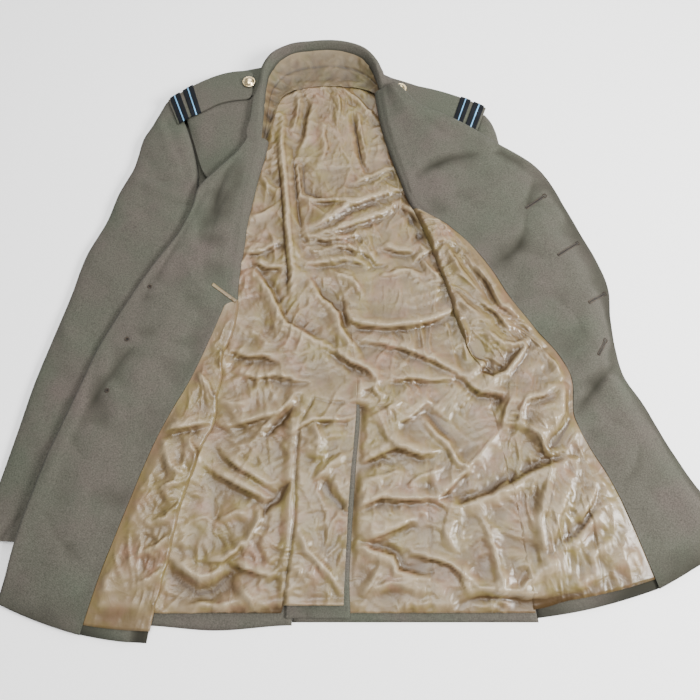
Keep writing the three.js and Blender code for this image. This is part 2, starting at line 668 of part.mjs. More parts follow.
const SLEEVE_LEFT = table(SLEEVE, [
  [-244, 350, -233, 338, 15],
  [-249, 344, -221, 317, 16],
  [-261, 315, -209, 286, 16],
  [-273, 290, -201, 258, 15],
  [-278, 262, -197, 234, 14],
  [-283, 240, -196, 210, 13],
  [-297, 208, -198, 180, 12],
  [-308, 168, -202, 138, 11],
  [-328, 120, -207, 94, 10.5],
  [-340, 66, -215, 44, 10.5],
  [-355, 8, -225, -12, 10.5],
  [-368, -44, -240, -64, 10.5],
  [-378, -96, -254, -116, 10],
  [-389, -150, -268, -168, 9.5],
  [-399, -196, -282, -208, 9],
  [-405, -218, -288, -224, 8],
]);

const SLEEVE_RIGHT = table(SLEEVE, [
  [181, 328, 171, 321, 12],
  [188, 318, 166, 302, 13],
  [194, 302, 160, 280, 13],
  [198, 282, 154, 258, 12],
  [208, 250, 150, 230, 10],
  [226, 214, 150, 196, 7],
  [250, 158, 154, 142, 6],
  [268, 98, 162, 84, 6],
  [280, 38, 174, 30, 6],
  [288, -20, 188, -28, 6],
  [304, -80, 206, -90, 6],
  [322, -140, 224, -150, 6],
  [332, -168, 238, -176, 5.5],
  [336, -180, 244, -188, 5],
]);

const SLEEVE_RING = 14;
const SLEEVE_WALL = 1.8;
const SLEEVE_SPACE = 3.6;       // room left inside a sleeve pressed flat

/** One ring of a sleeve: flat under, softly domed above; inset moves it into the cloth. */
function sleeveRing(row, inset) {
  const width = Math.hypot(row.inX - row.outX, row.inY - row.outY);
  const ring = [];
  for (let k = 0; k < SLEEVE_RING; k += 1) {
    const angle = (2 * Math.PI * k) / SLEEVE_RING;
    const [c, s] = [Math.cos(angle), Math.sin(angle)];
    const across = 0.5 + 0.5 * Math.sign(c) * Math.abs(c) ** 0.8 * (1 - (2 * inset) / width);
    const belly = 0.34;
    const level = s >= 0 ? belly + (1 - belly) * s ** 0.6 : belly * Math.max(0, 1 + 1.7 * s);
    const thick = inset > 0 ? Math.min(SLEEVE_SPACE, row.height - 2 * inset) : row.height;
    const z = (row.height - thick) / 2 + level * thick;
    ring.push([lerp(row.outX, row.inX, across), lerp(row.outY, row.inY, across), z]);
  }
  return ring;
}

function buildSleeve(name, rows, count) {
  const points = [];
  const rings = [];
  for (const inset of [0, SLEEVE_WALL]) {
    for (let i = 0; i < count; i += 1) {
      const first = inset > 0 && i === 0 ? 0.012 : 0;
      const t = i / (count - 1) + first;
      const row = Object.fromEntries(SLEEVE.map((key) => [key, along(rows, key, t)]));
      rings.push(points.length);
      points.push(...sleeveRing(row, inset));
    }
  }
  const faces = [];
  const quad = (a, b, c, d) => faces.push([a, b, c], [a, c, d]);
  for (let k = 0; k < SLEEVE_RING; k += 1) {
    const m = (k + 1) % SLEEVE_RING;
    for (let i = 0; i < count - 1; i += 1) {
      quad(rings[i] + k, rings[i] + m, rings[i + 1] + m, rings[i + 1] + k);
      const [a, b] = [rings[count + i], rings[count + i + 1]];
      quad(a + k, b + k, b + m, a + m);
    }
    const [outer, inner] = [rings[count - 1], rings[2 * count - 1]];
    quad(outer + k, outer + m, inner + m, inner + k);
  }
  for (let k = 1; k < SLEEVE_RING - 1; k += 1) {
    faces.push([rings[0], rings[0] + k + 1, rings[0] + k]);
    faces.push([rings[count], rings[count] + k, rings[count] + k + 1]);
  }
  jacket.add(solid(name, points, faces, cloth));
}

buildSleeve("sleeve_left", SLEEVE_LEFT, 20);
buildSleeve("sleeve_right", SLEEVE_RIGHT, 16);

// ---- worked buttonholes on the right facing -------------------------------------------------
// t is how far down the front, s the distance from its edge, at the outer and the inner end.
const HOLES = table(["outerT", "innerT", "outerS", "innerS"], [
  [0.358, 0.369, 17, 47],
  [0.459, 0.471, 11, 45],
  [0.564, 0.579, 7, 34],
]);

function buildHole(name, hole) {
  const steps = 7;
  const at = (i, j) => {
    const f = i / (steps - 1);
    const wide = f < 0.2 ? 1.6 : 1;
    const across = ((j - 1) * wide * HOLE_WIDTH) / 2 / 640;
    const row = frontRow(FRONT_RIGHT, lerp(hole.outerT, hole.innerT, f) + across, 0.24);
    const { p } = frontPoint(row, FOLDS_RIGHT, lerp(hole.outerS, hole.innerS, f));
    return { p: [p[0], p[1], p[2] + 2.0], n: UP };
  };
  jacket.add(sheet(name, steps, 3, at, 0, 0.8, thread));
}

HOLES.forEach((hole, k) => buildHole(`buttonhole_${k + 1}`, hole));

// ---- short tape across the top corner of the left lining -------------------------------------
const TAPE = { fromT: 0.406, toT: 0.456, fromRoll: 34, toRoll: 3, width: 4 };

function buildTape() {
  const steps = 6;
  const at = (i, j) => {
    const f = i / (steps - 1);
    const across = ((j - 0.5) * TAPE.width) / 640;
    const row = frontRow(FRONT_LEFT, lerp(TAPE.fromT, TAPE.toT, f) + across, 0.45);
    const { p } = frontPoint(row, FOLDS_LEFT, row.flat - lerp(TAPE.fromRoll, TAPE.toRoll, f));
    return { p: [p[0], p[1], p[2] + 1.6], n: UP };
  };
  jacket.add(sheet("lining_tape", steps, 2, at, 0, 0.8, satin));
}

buildTape();

export default jacket;
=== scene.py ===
# %% [markdown]
# # A service dress jacket, laid open on its back
# The jacket lies on a table with both fronts thrown open over its sleeves. This lesson dresses
# the plain CAD frame: each panel of cloth becomes a fine grid of points worked out with numpy,
# and each finish is built from shader nodes. Lengths in the tables are millimetres.

import math

import bmesh
import bpy
import numpy as np
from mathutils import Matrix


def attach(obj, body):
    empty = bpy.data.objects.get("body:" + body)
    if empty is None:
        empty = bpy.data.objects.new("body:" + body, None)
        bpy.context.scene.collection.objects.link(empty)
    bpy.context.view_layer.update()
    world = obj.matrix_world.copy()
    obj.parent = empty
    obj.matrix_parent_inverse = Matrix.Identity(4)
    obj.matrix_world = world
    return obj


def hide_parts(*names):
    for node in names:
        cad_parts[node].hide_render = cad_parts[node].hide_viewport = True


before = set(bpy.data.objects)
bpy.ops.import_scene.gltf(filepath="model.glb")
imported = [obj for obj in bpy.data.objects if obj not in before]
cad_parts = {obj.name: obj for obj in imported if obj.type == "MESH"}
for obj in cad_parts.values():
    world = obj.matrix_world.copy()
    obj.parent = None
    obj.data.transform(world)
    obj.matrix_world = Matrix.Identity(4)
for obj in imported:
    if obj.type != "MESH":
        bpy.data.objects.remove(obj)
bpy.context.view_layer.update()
MM = 0.001
print("CAD nodes:", len(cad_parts))

# %% [markdown]
# ## Camera, light and table
# The camera stands near the hem and looks steeply down, 18 degrees off the vertical, with a
# fairly wide lens, so the hem looks broader than the shoulders. The table is plain and pale.

# %% Camera
CAMERA_Y = -237.7      # how far towards the hem the camera stands
CAMERA_HEIGHT = 731.6
CAMERA_TILT = 18.0     # degrees away from straight down
LENS = 33.07           # on a 36 mm square sensor

lens = bpy.data.cameras.new("camera")
lens.lens = LENS
lens.sensor_width = 36.0
lens.sensor_fit = "HORIZONTAL"
camera = bpy.data.objects.new("camera", lens)
camera.location = (0.0, CAMERA_Y * MM, CAMERA_HEIGHT * MM)
camera.rotation_euler = (math.radians(CAMERA_TILT), 0.0, 0.0)
bpy.context.scene.collection.objects.link(camera)
bpy.context.scene.camera = camera

# %% Lights and world
def area_light(name, place, target, size, power, color):
    """A square soft box at `place` that faces `target`; all in metres."""
    data = bpy.data.lights.new(name, "AREA")
    data.size = size
    data.energy = power
    data.color = color
    lamp = bpy.data.objects.new(name, data)
    lamp.location = place
    aim = np.array(target) - np.array(place)
    flat = math.hypot(aim[0], aim[1])
    turn = math.atan2(aim[1], aim[0]) - math.pi / 2
    lamp.rotation_euler = (math.atan2(flat, -aim[2]), 0.0, turn)
    bpy.context.scene.collection.objects.link(lamp)


area_light("key", (1.45, -0.3, 1.15), (0, 0, 0), 0.6, 78, (1.0, 0.995, 0.98))
area_light("overhead", (0.0, 0.0, 1.6), (0, 0, 0), 0.9, 28, (1.0, 0.995, 0.98))
area_light("window", (0.1, 1.05, 1.1), (0, 0.05, 0), 0.9, 11, (0.97, 0.99, 1.0))

world = bpy.data.worlds.new("room")
world.use_nodes = True
sky = world.node_tree.nodes["Background"]
sky.inputs["Color"].default_value = (0.95, 0.96, 1.0, 1)
sky.inputs["Strength"].default_value = 0.46
bpy.context.scene.world = world

# %% [markdown]
# ## Curves, noise and grids
# Everything below is a grid of points. A table gives a few stations with named columns, a
# Catmull-Rom curve fills in the rest, and gradient noise adds what is too small to place by hand.

# %% Curves and noise
def catmull(rows, t):
    """Curve through the rows at t in 0..1: cubic with slope (next - previous) / 2 at each row."""
    rows = np.asarray(rows, float)
    last = len(rows) - 1
    place = np.clip(t, 0, 1) * last
    i = np.minimum(place.astype(int), last - 1)
    f = (place - i)[..., None]
    a, b = rows[np.maximum(i - 1, 0)], rows[i]
    c, d = rows[i + 1], rows[np.minimum(i + 2, last)]
    hb, hc = 2 * f**3 - 3 * f**2 + 1, 3 * f**2 - 2 * f**3
    return b * hb + c * hc + (c - a) / 2 * (f**3 - 2 * f**2 + f) + (d - b) / 2 * (f**3 - f**2)


def at_y(rows, y):
    """The columns of a table at height y, where the first column is y and falls down the table."""
    rows = np.asarray(rows, float)
    t = np.interp(-y, -rows[:, 0], np.linspace(0, 1, len(rows)))
    return catmull(rows, t)


def smooth(t):
    """0 below 0, 1 above 1, and 3t^2 - 2t^3 between."""
    t = np.clip(t, 0, 1)
    return t * t * (3 - 2 * t)


def mix(a, b, t):
    """a at t = 0 and b at t = 1."""
    return a + (b - a) * t


def rounded(distance, reach, drop):
    """How far a soft edge falls: drop * (1 - smooth(distance / reach))^2."""
    return drop * (1 - smooth(distance / reach)) ** 2


def columns(count):
    """0..1 in `count` steps, along a row."""
    return np.linspace(0, 1, count)[None, :]


TILE = 97              # cells before the noise repeats


def noise(x, y, size, seed):
    """Gradient noise, about -1 to 1: slopes on a lattice of `size`, blended by 6t^5-15t^4+10t^3."""
    angle = np.random.default_rng(seed).uniform(0, 2 * np.pi, (TILE, TILE))
    u, v = x / size + 31.7, y / size + 47.3
    i, j = np.floor(u).astype(int), np.floor(v).astype(int)
    fu, fv = u - i, v - j

    def corner(di, dj):
        a = angle[(i + di) % TILE, (j + dj) % TILE]
        return np.cos(a) * (fu - di) + np.sin(a) * (fv - dj)

    wu = fu**3 * (fu * (fu * 6 - 15) + 10)
    wv = fv**3 * (fv * (fv * 6 - 15) + 10)
    low, high = mix(corner(0, 0), corner(1, 0), wu), mix(corner(0, 1), corner(1, 1), wu)
    return 1.5 * mix(low, high, wv)


def folds_height(folds, x, y):
    """Sum of soft folds: rise * exp(-(distance to the line / half width)^2), one row per fold."""
    z = np.zeros_like(x)
    for x0, y0, x1, y1, half, rise in folds:
        dx, dy = x1 - x0, y1 - y0
        t = ((x - x0) * dx + (y - y0) * dy) / (dx * dx + dy * dy)
        near = np.clip(t, 0, 1)
        away = np.hypot(x - x0 - near * dx, y - y0 - near * dy)
        fade = np.exp(-((np.maximum(np.abs(t - 0.5) - 0.5, 0) * 3) ** 2))
        z = z + rise * fade * np.exp(-((away / half) ** 2))
    return z


# %% Creases along lines
def crease_places(creases, x, y):
    """For each line: half width, rise, side, plain and signed distance, and a fade at its ends."""
    for half, rise, side, points in creases:
        points = np.array(points, float)
        legs = np.diff(points, axis=0)
        size = np.hypot(legs[:, 0], legs[:, 1])
        near, across, along = np.full_like(x, 1e9), np.zeros_like(x), np.zeros_like(x)
        done = 0.0
        for (px, py), (dx, dy), long in zip(points, legs, size):
            t = np.clip(((x - px) * dx + (y - py) * dy) / long**2, 0, 1)
            away = np.hypot(x - px - t * dx, y - py - t * dy)
            closer = away < near
            sign = np.sign(dx * (y - py) - dy * (x - px))
            near = np.where(closer, away, near)
            across = np.where(closer, away * sign, across)
            along = np.where(closer, done + t * long, along)
            done += long
        fade = smooth(np.minimum(along, done - along) / (0.25 * done))
        yield half, rise, side, near, across, fade


def crease_height(creases, x, y):
    """Sum over the lines of rise * (exp(-(d / reach)^1.15) - a dip beside it), d the distance.

    On the trough's side the reach is 0.7 half widths, on the other 1.7, so that the cloth climbs
    gently to a sharp crest and drops. The height fades over the first and last quarter of a line.
    """
    z = np.zeros_like(x)
    for half, rise, side, near, across, fade in crease_places(creases, x, y):
        reach = half * (1.1 - 0.5 * np.sign(across) * side + 0.1 * abs(side))
        crest = np.exp(-((near / reach) ** 1.15))
        dip = 0.4 * abs(side) * np.exp(-(((across - side * 1.7 * half) / half) ** 2))
        z = z + rise * (0.25 + 0.75 * fade) * (crest - dip)
    return z


def crease_shade(creases, x, y):
    """Painted shade along the foot of each crease: fade * exp(-((signed distance - foot) / 1.2)^2).
    """
    painted_shade = np.zeros_like(x)
    for half, rise, side, near, across, fade in crease_places(creases, x, y):
        foot = 0.75 * half * (side or 1) * (rise > 0)
        line = fade * np.exp(-(((across - foot) / 1.2) ** 2))
        painted_shade = np.maximum(painted_shade, line * (near < 2 * half))
    return painted_shade


# %% Grids become meshes
def height_on(grid, x, y):
    """Height of the nearest point of a grid under each (x, y)."""
    flat = grid.reshape(-1, 3)
    dx, dy = flat[None, :, 0] - np.ravel(x)[:, None], flat[None, :, 1] - np.ravel(y)[:, None]
    near = (dx**2 + dy**2).argmin(1)
    return flat[near, 2].reshape(np.shape(x))


def cloth_mesh(name, grid, material, tone=1.0, painted_shade=0.0):
    """Quads over a rows x columns x 3 grid in millimetres, with a length map and fold heights.

    The attribute "fold" is fold_depth * tone less a painted shade; the finishes paint shade and
    highlight
    from it: `tone` scales the painted shade and highlight of the folds, and the painted shade
    makes them darker still.
    """
    h, w, _ = grid.shape
    a = (np.arange(h - 1)[:, None] * w + np.arange(w - 1)).ravel()
    quads = np.stack([a, a + 1, a + w + 1, a + w], 1)
    points = grid.reshape(-1, 3) * MM
    p, q, r = points[quads[:, 0]], points[quads[:, 1]], points[quads[:, 2]]
    if np.cross(q - p, r - p)[:, 2].sum() < 0:
        quads = quads[:, ::-1]
    mesh = bpy.data.meshes.new(name)
    mesh.from_pydata(points.tolist(), [], quads.tolist())
    wide, long = thread_lengths(grid)
    across = np.linspace(0, 1, w)[None, :] * np.ones((h, 1)) * wide.mean() * MM
    down = np.linspace(0, 1, h)[:, None] * np.ones((1, w)) * long.mean() * MM
    layer = mesh.uv_layers.new(name="cloth")
    corners = quads.ravel()
    uv = np.stack([across.ravel()[corners], down.ravel()[corners]], 1)
    layer.data.foreach_set("uv", uv.ravel())
    mesh.polygons.foreach_set("use_smooth", np.ones(len(quads), bool))
    depth = mesh.attributes.new("fold", "FLOAT", "POINT")
    depth.data.foreach_set("value", (fold_depth(grid) * tone - painted_shade).ravel())
    mesh.materials.append(material)
    piece = bpy.data.objects.new(name, mesh)
    bpy.context.scene.collection.objects.link(piece)
    return piece


def fold_depth(grid, rounds=70):
    """How far each point stands above the mean of its surroundings, in millimetres."""
    mean = grid[..., 2].copy()
    for _ in range(rounds):
        edge = np.pad(mean, 1, mode="edge")
        mean = (edge[:-2, 1:-1] + edge[2:, 1:-1] + edge[1:-1, :-2] + edge[1:-1, 2:]) / 4
    return grid[..., 2] - mean


def thread_lengths(grid):
    """Lengths of the rows and of the columns of a grid, in millimetres."""
    rows = np.linalg.norm(np.diff(grid, axis=1), axis=2).sum(1)
    columns = np.linalg.norm(np.diff(grid, axis=0), axis=2).sum(0)
    return rows, columns


def wall(piece, thickness):
    """Gives a sheet its thickness, downwards from the modelled side."""
    solid = piece.modifiers.new("wall", "SOLIDIFY")
    solid.thickness = thickness * MM
    solid.offset = -1
    return piece


def fit(piece, nodes):
    """Puts a piece on the frame, in place of its CAD nodes if it has any."""
    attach(piece, "root")
    if nodes:
        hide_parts(*nodes)
    return piece


def lay(piece, nodes):
    fit(piece, nodes)


# %% [markdown]
# ## Finishes
# Wool cloth is matt: a twill too fine to count, a little fuzz that pales it at a glancing look, and
# faint clouds of warmer and greener grey. Satin is the opposite: one smooth skin that lights up
# Both share a small group that makes uneven tone, and another that paints shade into the folds and,
# on the satin, a highlight on their crests.

# %% Shader helpers
def new_material(name, color, roughness):
    """An empty Principled material; returns it with its node tree and shader."""
    material = bpy.data.materials.new(name)
    material.use_nodes = True
    shader = material.node_tree.nodes["Principled BSDF"]
    shader.inputs["Base Color"].default_value = (*color, 1)
    shader.inputs["Roughness"].default_value = roughness
    return material, material.node_tree, shader


def node(tree, kind, inputs=None, **settings):
    """Adds a node, sets its fields, and sets or links its inputs by name or number."""
    made = tree.nodes.new(kind)
    for key, value in settings.items():
        setattr(made, key, value)
    for key, value in (inputs or {}).items():
        if isinstance(value, bpy.types.NodeSocket):
            tree.links.new(value, made.inputs[key])
        else:
            made.inputs[key].default_value = value
    return made


def use_group(tree, made, inputs):
    """Places a node group in a tree and links or sets its inputs."""
    return node(tree, "ShaderNodeGroup", inputs, node_tree=made)


def sums(tree, operation, *values):
    """Output of a maths node on up to three values."""
    return node(tree, "ShaderNodeMath", dict(enumerate(values)), operation=operation).outputs[0]


def ramp(tree, value, low, high, start=0.0, stop=1.0):
    """Maps low..high on to start..stop and holds the ends."""
    return node(tree, "ShaderNodeMapRange", {
        "Value": value, "From Min": low, "From Max": high, "To Min": start,
        "To Max": stop}).outputs[0]


def blend(tree, mask, one, other):
    """The colour `one` where the mask is 0 and `other` where it is 1."""
    return node(tree, "ShaderNodeMix", {0: mask, 6: one, 7: other}, data_type="RGBA").outputs[2]


def grain(tree, point, scale, detail, **inputs):
    """Noise between 0 and 1, about 0.5, at a point."""
    made = {"Vector": point, "Scale": scale, "Detail": detail, **inputs}
    return node(tree, "ShaderNodeTexNoise", made).outputs["Fac"]


def raised(tree, height, strength, distance, **settings):
    """Normal of a surface that carries a small height."""
    made = {"Height": height, "Strength": strength, "Distance": distance}
    return node(tree, "ShaderNodeBump", made, **settings).outputs[0]


def place_of(tree):
    """The point in the piece's own metres."""
    return tree.nodes.new("ShaderNodeTexCoord").outputs["Object"]


def group(name, inputs, outputs):
    """A shader node group; returns it with its input and output nodes."""
    made = bpy.data.node_groups.new(name, "ShaderNodeTree")
    for label, kind, value in inputs:
        socket = made.interface.new_socket(label, in_out="INPUT", socket_type=kind)
        if value is not None:
            socket.default_value = value
    for label, kind in outputs:
        made.interface.new_socket(label, in_out="OUTPUT", socket_type=kind)
    return made, made.nodes.new("NodeGroupInput"), made.nodes.new("NodeGroupOutput")


# %% Group: uneven tone
GREY = (0.2, 0.2, 0.2, 1)


def make_uneven_tone():
    """Tone = base colour, mixed to Warm and to Cool by two slow noises, varied by a fine speck."""
    tree, given, out = group("uneven_tone", [
        ("Point", "NodeSocketVector", None), ("Base", "NodeSocketColor", GREY),
        ("Warm", "NodeSocketColor", GREY), ("Cool", "NodeSocketColor", GREY),
        ("Cloud size", "NodeSocketFloat", 12.0), ("Speck size", "NodeSocketFloat", 900.0),
        ("Speck", "NodeSocketFloat", 0.2)], [("Tone", "NodeSocketColor")])
    point, size = given.outputs["Point"], given.outputs["Cloud size"]
    shifted = node(tree, "ShaderNodeVectorMath", {0: point, 1: (3.1, 7.7, 1.3)}, operation="ADD")
    warm_mask = ramp(tree, grain(tree, point, size, 3), 0.45, 0.7)
    cool_mask = ramp(tree, grain(tree, shifted.outputs[0], size, 3), 0.45, 0.7)
    warm = blend(tree, warm_mask, given.outputs["Base"], given.outputs["Warm"])
    cool = blend(tree, cool_mask, warm, given.outputs["Cool"])
    fine = sums(tree, "SUBTRACT", grain(tree, point, given.outputs["Speck size"], 2), 0.5)
    speck = sums(tree, "MULTIPLY_ADD", fine, given.outputs["Speck"], 1.0)
    toned = node(tree, "ShaderNodeVectorMath", {0: cool, "Scale": speck}, operation="SCALE")
    tree.links.new(toned.outputs[0], out.inputs["Tone"])
    return tree


def uneven(tree, base, warm, cool, cloud_size, speck_size, speck):
    """Uneven tone of three colours at each point of a piece."""
    return use_group(tree, UNEVEN_TONE, {
        "Point": place_of(tree), "Base": (*base, 1), "Warm": (*warm, 1), "Cool": (*cool, 1),
        "Cloud size": cloud_size, "Speck size": speck_size, "Speck": speck}).outputs["Tone"]


# %% Group: twill weave
def make_twill():
    """Height = sine of a diagonal across the cloth, broken up by a fine noise."""
    tree, given, out = group("twill", [
        ("Point", "NodeSocketVector", None), ("Lines per metre", "NodeSocketFloat", 900.0)],
        [("Height", "NodeSocketFloat")])
    parts = node(tree, "ShaderNodeSeparateXYZ", {0: given.outputs["Point"]})
    diagonal = sums(tree, "ADD", parts.outputs[0], parts.outputs[1])
    wave = sums(tree, "SINE", sums(tree, "MULTIPLY", diagonal, given.outputs["Lines per metre"]))
    rough = grain(tree, given.outputs["Point"], 1400.0, 2)
    tree.links.new(sums(tree, "MULTIPLY_ADD", wave, 0.3, rough), out.inputs["Height"])
    return tree


UNEVEN_TONE = make_uneven_tone()
TWILL = make_twill()


def srgb(r, g, b):
    """0..255 display colour to the linear colour that shaders use."""
    c = np.array([r, g, b]) / 255
    return tuple(float(v) for v in np.where(c <= 0.04045, c / 12.92, ((c + 0.055) / 1.055) ** 2.4))


# %% Group: painted shade and highlight of folds
def make_fold_shade_and_highlight():
    """Paints shade and highlight: mixes Deep, Middle and High colours by the fold height that the
    mesh stores for each point.
    """
    tree, given, out = group("fold_shade_and_highlight", [
        ("Middle", "NodeSocketColor", GREY), ("Deep", "NodeSocketColor", (0.1, 0.1, 0.1, 1)),
        ("High", "NodeSocketColor", (0.3, 0.3, 0.3, 1)), ("Depth", "NodeSocketFloat", 1.5)],
        [("Tone", "NodeSocketColor")])
    fold = node(tree, "ShaderNodeAttribute", attribute_name="fold").outputs["Fac"]
    depth = given.outputs["Depth"]
    low = ramp(tree, fold, 0.0, sums(tree, "MULTIPLY", depth, -1.0))
    high = ramp(tree, fold, 0.0, depth)
    darker = blend(tree, low, given.outputs["Middle"], given.outputs["Deep"])
    tree.links.new(blend(tree, high, darker, given.outputs["High"]), out.inputs["Tone"])
    return tree


FOLD_SHADE_AND_HIGHLIGHT = make_fold_shade_and_highlight()


# %% Wool cloth
def make_wool(name, base, warm, cool, painted_shade_colour):
    """Matt twill: uneven tone, fine weave bump, a little fuzz (sheen), painted shade in the
    hollows.
    """
    material, tree, shader = new_material(name, base, 0.95)
    tone = uneven(tree, base, warm, cool, 14.0, 700.0, 1.2)
    shade = use_group(tree, FOLD_SHADE_AND_HIGHLIGHT, {
        "Middle": tone, "Deep": (*painted_shade_colour, 1), "High": tone, "Depth": 2.6})
    weave = use_group(tree, TWILL, {"Point": place_of(tree), "Lines per metre": 4200.0})
    tree.links.new(shade.outputs["Tone"], shader.inputs["Base Color"])
    tree.links.new(raised(tree, weave.outputs["Height"], 0.5, 0.0005), shader.inputs["Normal"])
    shader.inputs["Specular IOR Level"].default_value = 0.0
    shader.inputs["Sheen Weight"].default_value = 0.05
    shader.inputs["Sheen Roughness"].default_value = 0.5
    return material


# The last colour is the painted shade of the hollows.
WOOL = make_wool("wool_twill", srgb(74, 72, 65), srgb(79, 73, 68), srgb(71, 73, 64),
                 srgb(46, 45, 39))


# %% Satin lining
def make_satin(name, base, warm, cool, painted_shade_colour, high, smoothest=0.31):
    """Smooth lining: uneven champagne tone, painted golden brown shade in the folds and a painted
    highlight on their crests.
    """
    material, tree, shader = new_material(name, base, 0.4)
    shade = use_group(tree, FOLD_SHADE_AND_HIGHLIGHT, {
        "Middle": uneven(tree, base, warm, cool, 34.0, 700.0, 0.2), "Deep": (*painted_shade_colour, 1),
        "High": (*high, 1), "Depth": 3.0})
    dents = grain(tree, place_of(tree), 55.0, 2, Distortion=0.6)
    sharp = sums(tree, "ABSOLUTE", sums(tree, "SUBTRACT", dents, 0.5))
    gloss = ramp(tree, dents, 0.3, 0.7, smoothest, smoothest + 0.14)
    tree.links.new(shade.outputs["Tone"], shader.inputs["Base Color"])
    tree.links.new(gloss, shader.inputs["Roughness"])
    tree.links.new(raised(tree, sharp, 0.3, 0.004, invert=True), shader.inputs["Normal"])
    shader.inputs["Specular IOR Level"].default_value = 0.5
    return material


# The last two colours are painted: shade in the folds and a highlight on their crests.
SATIN = make_satin("champagne_satin", srgb(104, 88, 63), srgb(113, 87, 67), srgb(104, 91, 52),
                   srgb(60, 43, 18), srgb(131, 116, 91))
# Satin of the neck lining: yellower for a real stain, and darker for painted shade inside the
# collar.
STAINED_AND_SHADED_SATIN = make_satin("stained_and_shaded_satin", srgb(80, 66, 42), srgb(86, 66, 44), srgb(76, 68, 36),
                        srgb(40, 29, 12), srgb(108, 93, 66), 0.5)

# %% Cloth panels: material, word in the piece's name, name of the finish, wall
CLOTH = 1.6            # wall of the wool with its interlining
SATIN_WALL = 0.9
WOOL_PANEL = (WOOL, "wool", "wool_cloth", CLOTH)
SATIN_PANEL = (SATIN, "satin", "satin_lining", SATIN_WALL)
STAINED_AND_SHADED_PANEL = (STAINED_AND_SHADED_SATIN, "satin", "satin_lining", SATIN_WALL)


def panel(node_name, grid, finish, tone=1.0, painted_shade=0.0, trim=None):
    """A walled sheet in one of the finishes that stands for one node.

    `trim` is a function that makes a small piece sewn on to the sheet's grid.
    """
    material, kind, slot, thickness = finish
    piece = wall(cloth_mesh(f"{node_name}_{kind}", grid, material, tone, painted_shade), thickness)
    trims = [trim(grid)] if trim else []
    lay(piece, [node_name])


# %% [markdown]
# ## The opened fronts
# Each front is three layers that share one set of stations: the facing of the same wool, the
# satin lining sewn to it, and the outer cloth face down underneath. A row runs from the front
# edge over the seam to the roll, where the cloth turns over and back under itself. One function
# gives any point of that path from its distance to the edge, so the layers always nest.

# %% Stations of the fronts
# edge x, edge y, seam x, seam y, roll x, roll y, edge z, middle z, seam z, roll z, wrap
FRONT_LEFT = [
    [-134, 287, -116, 284, -115, 284, 22, 22, 21, 20, 1],
    [-145, 266, -119, 262, -118, 262, 22, 22, 21, 19, 1],
    [-168, 239, -125, 232, -124, 232, 22, 21, 19, 17, 1],
    [-191, 212, -130, 198, -129, 198, 22, 20, 17, 15, 1],
    [-199, 182, -135, 165, -134, 165, 21, 20, 16, 14, 1],
    [-212, 148, -137, 133, -136, 133, 21, 19, 15, 13, 1],
    [-236, 109, -140, 103, -139, 103, 21, 19, 14, 12, 1],
    [-251, 84, -143, 73, -140, 73, 20, 19, 13, 11, 1],
    [-266, 56, -151, 52, -138, 50, 20, 19, 13, 11, 0],
    [-280, 28, -163, 18, -145, 17, 20, 19, 12, 11, 0],
    [-295, -5, -177, -20, -152, -13, 20, 19, 12, 11, 0],
    [-308, -45, -190, -51, -155, -50, 20, 19, 13, 11, 0],
    [-321, -84, -204, -78, -160, -88, 20, 18, 13, 11, 0],
    [-336, -130, -221, -117, -172, -128, 20, 18, 13, 10, 0],
    [-349, -179, -240, -172, -184, -172, 19, 17, 11, 10, 0],
    [-358, -218, -253, -212, -193, -212, 17, 15, 10, 9, 0],
    [-366, -254, -268, -256, -202, -258, 10, 11, 8, 8, 0],
    [-373, -282, -281, -306, -211, -321, 4.5, 5, 5.5, 8, 0],
]
FRONT_RIGHT = [
    [62, 362, 43, 360, 42, 360, 33.5, 32, 24, 21, 1],
    [92, 330, 48, 320, 47, 320, 31, 30, 23, 20, 1],
    [124, 315, 54, 290, 53, 290, 29, 27, 22, 19, 1],
    [155, 297, 62, 260, 61, 260, 28.5, 25, 20, 18, 1],
    [188, 275, 71, 230, 70, 230, 25, 22, 18, 16, 1],
    [232, 250, 82, 199, 80, 198, 18, 19, 16, 15, 1],
    [256, 225, 121, 161, 91, 172, 12, 18, 15, 14, 0],
    [274, 189, 147, 136, 101, 145, 8, 17, 14, 14, 0],
    [291, 152, 172, 102, 111, 114, 6, 16, 13, 13, 0],
    [307, 115, 190, 68, 119, 88, 5, 16, 13, 13, 0],
    [317, 78, 205, 44, 126, 62, 5, 16, 13, 12, 0],
    [315, 40, 222, 20, 133, 30, 5, 16, 12, 12, 0],
    [316, 0, 245, -10, 142, 0, 5, 15, 12, 11, 0],
    [322, -35, 257, -42, 155, -28, 5, 14, 13, 10, 0],
    [340, -68, 255, -84, 165, -70, 5, 14, 13, 9.5, 0],
    [361, -115, 268, -118, 174, -115, 5, 14, 13, 9, 0],
    [385, -160, 287, -153, 182, -160, 5, 13, 12, 9, 0],
    [410, -190, 306, -196, 189, -210, 5, 12, 11, 8.5, 0],
    [428, -212, 328, -257, 197, -297, 4.5, 5, 5.5, 8, 0],
]
FOLD_FLOOR = 3.7       # height of the lowest turn of an opened front
FOLD_RETURN = 14.0     # how far the turned cloth runs back under the front
FRONT_LENGTH = 420     # of the free roll of the left front, for its noise
# table, share of the facing where its middle height is reached, bow of the hem
FRONTS = {"left": (FRONT_LEFT, 0.45, 7.0), "right": (FRONT_RIGHT, 0.36, 11.0)}

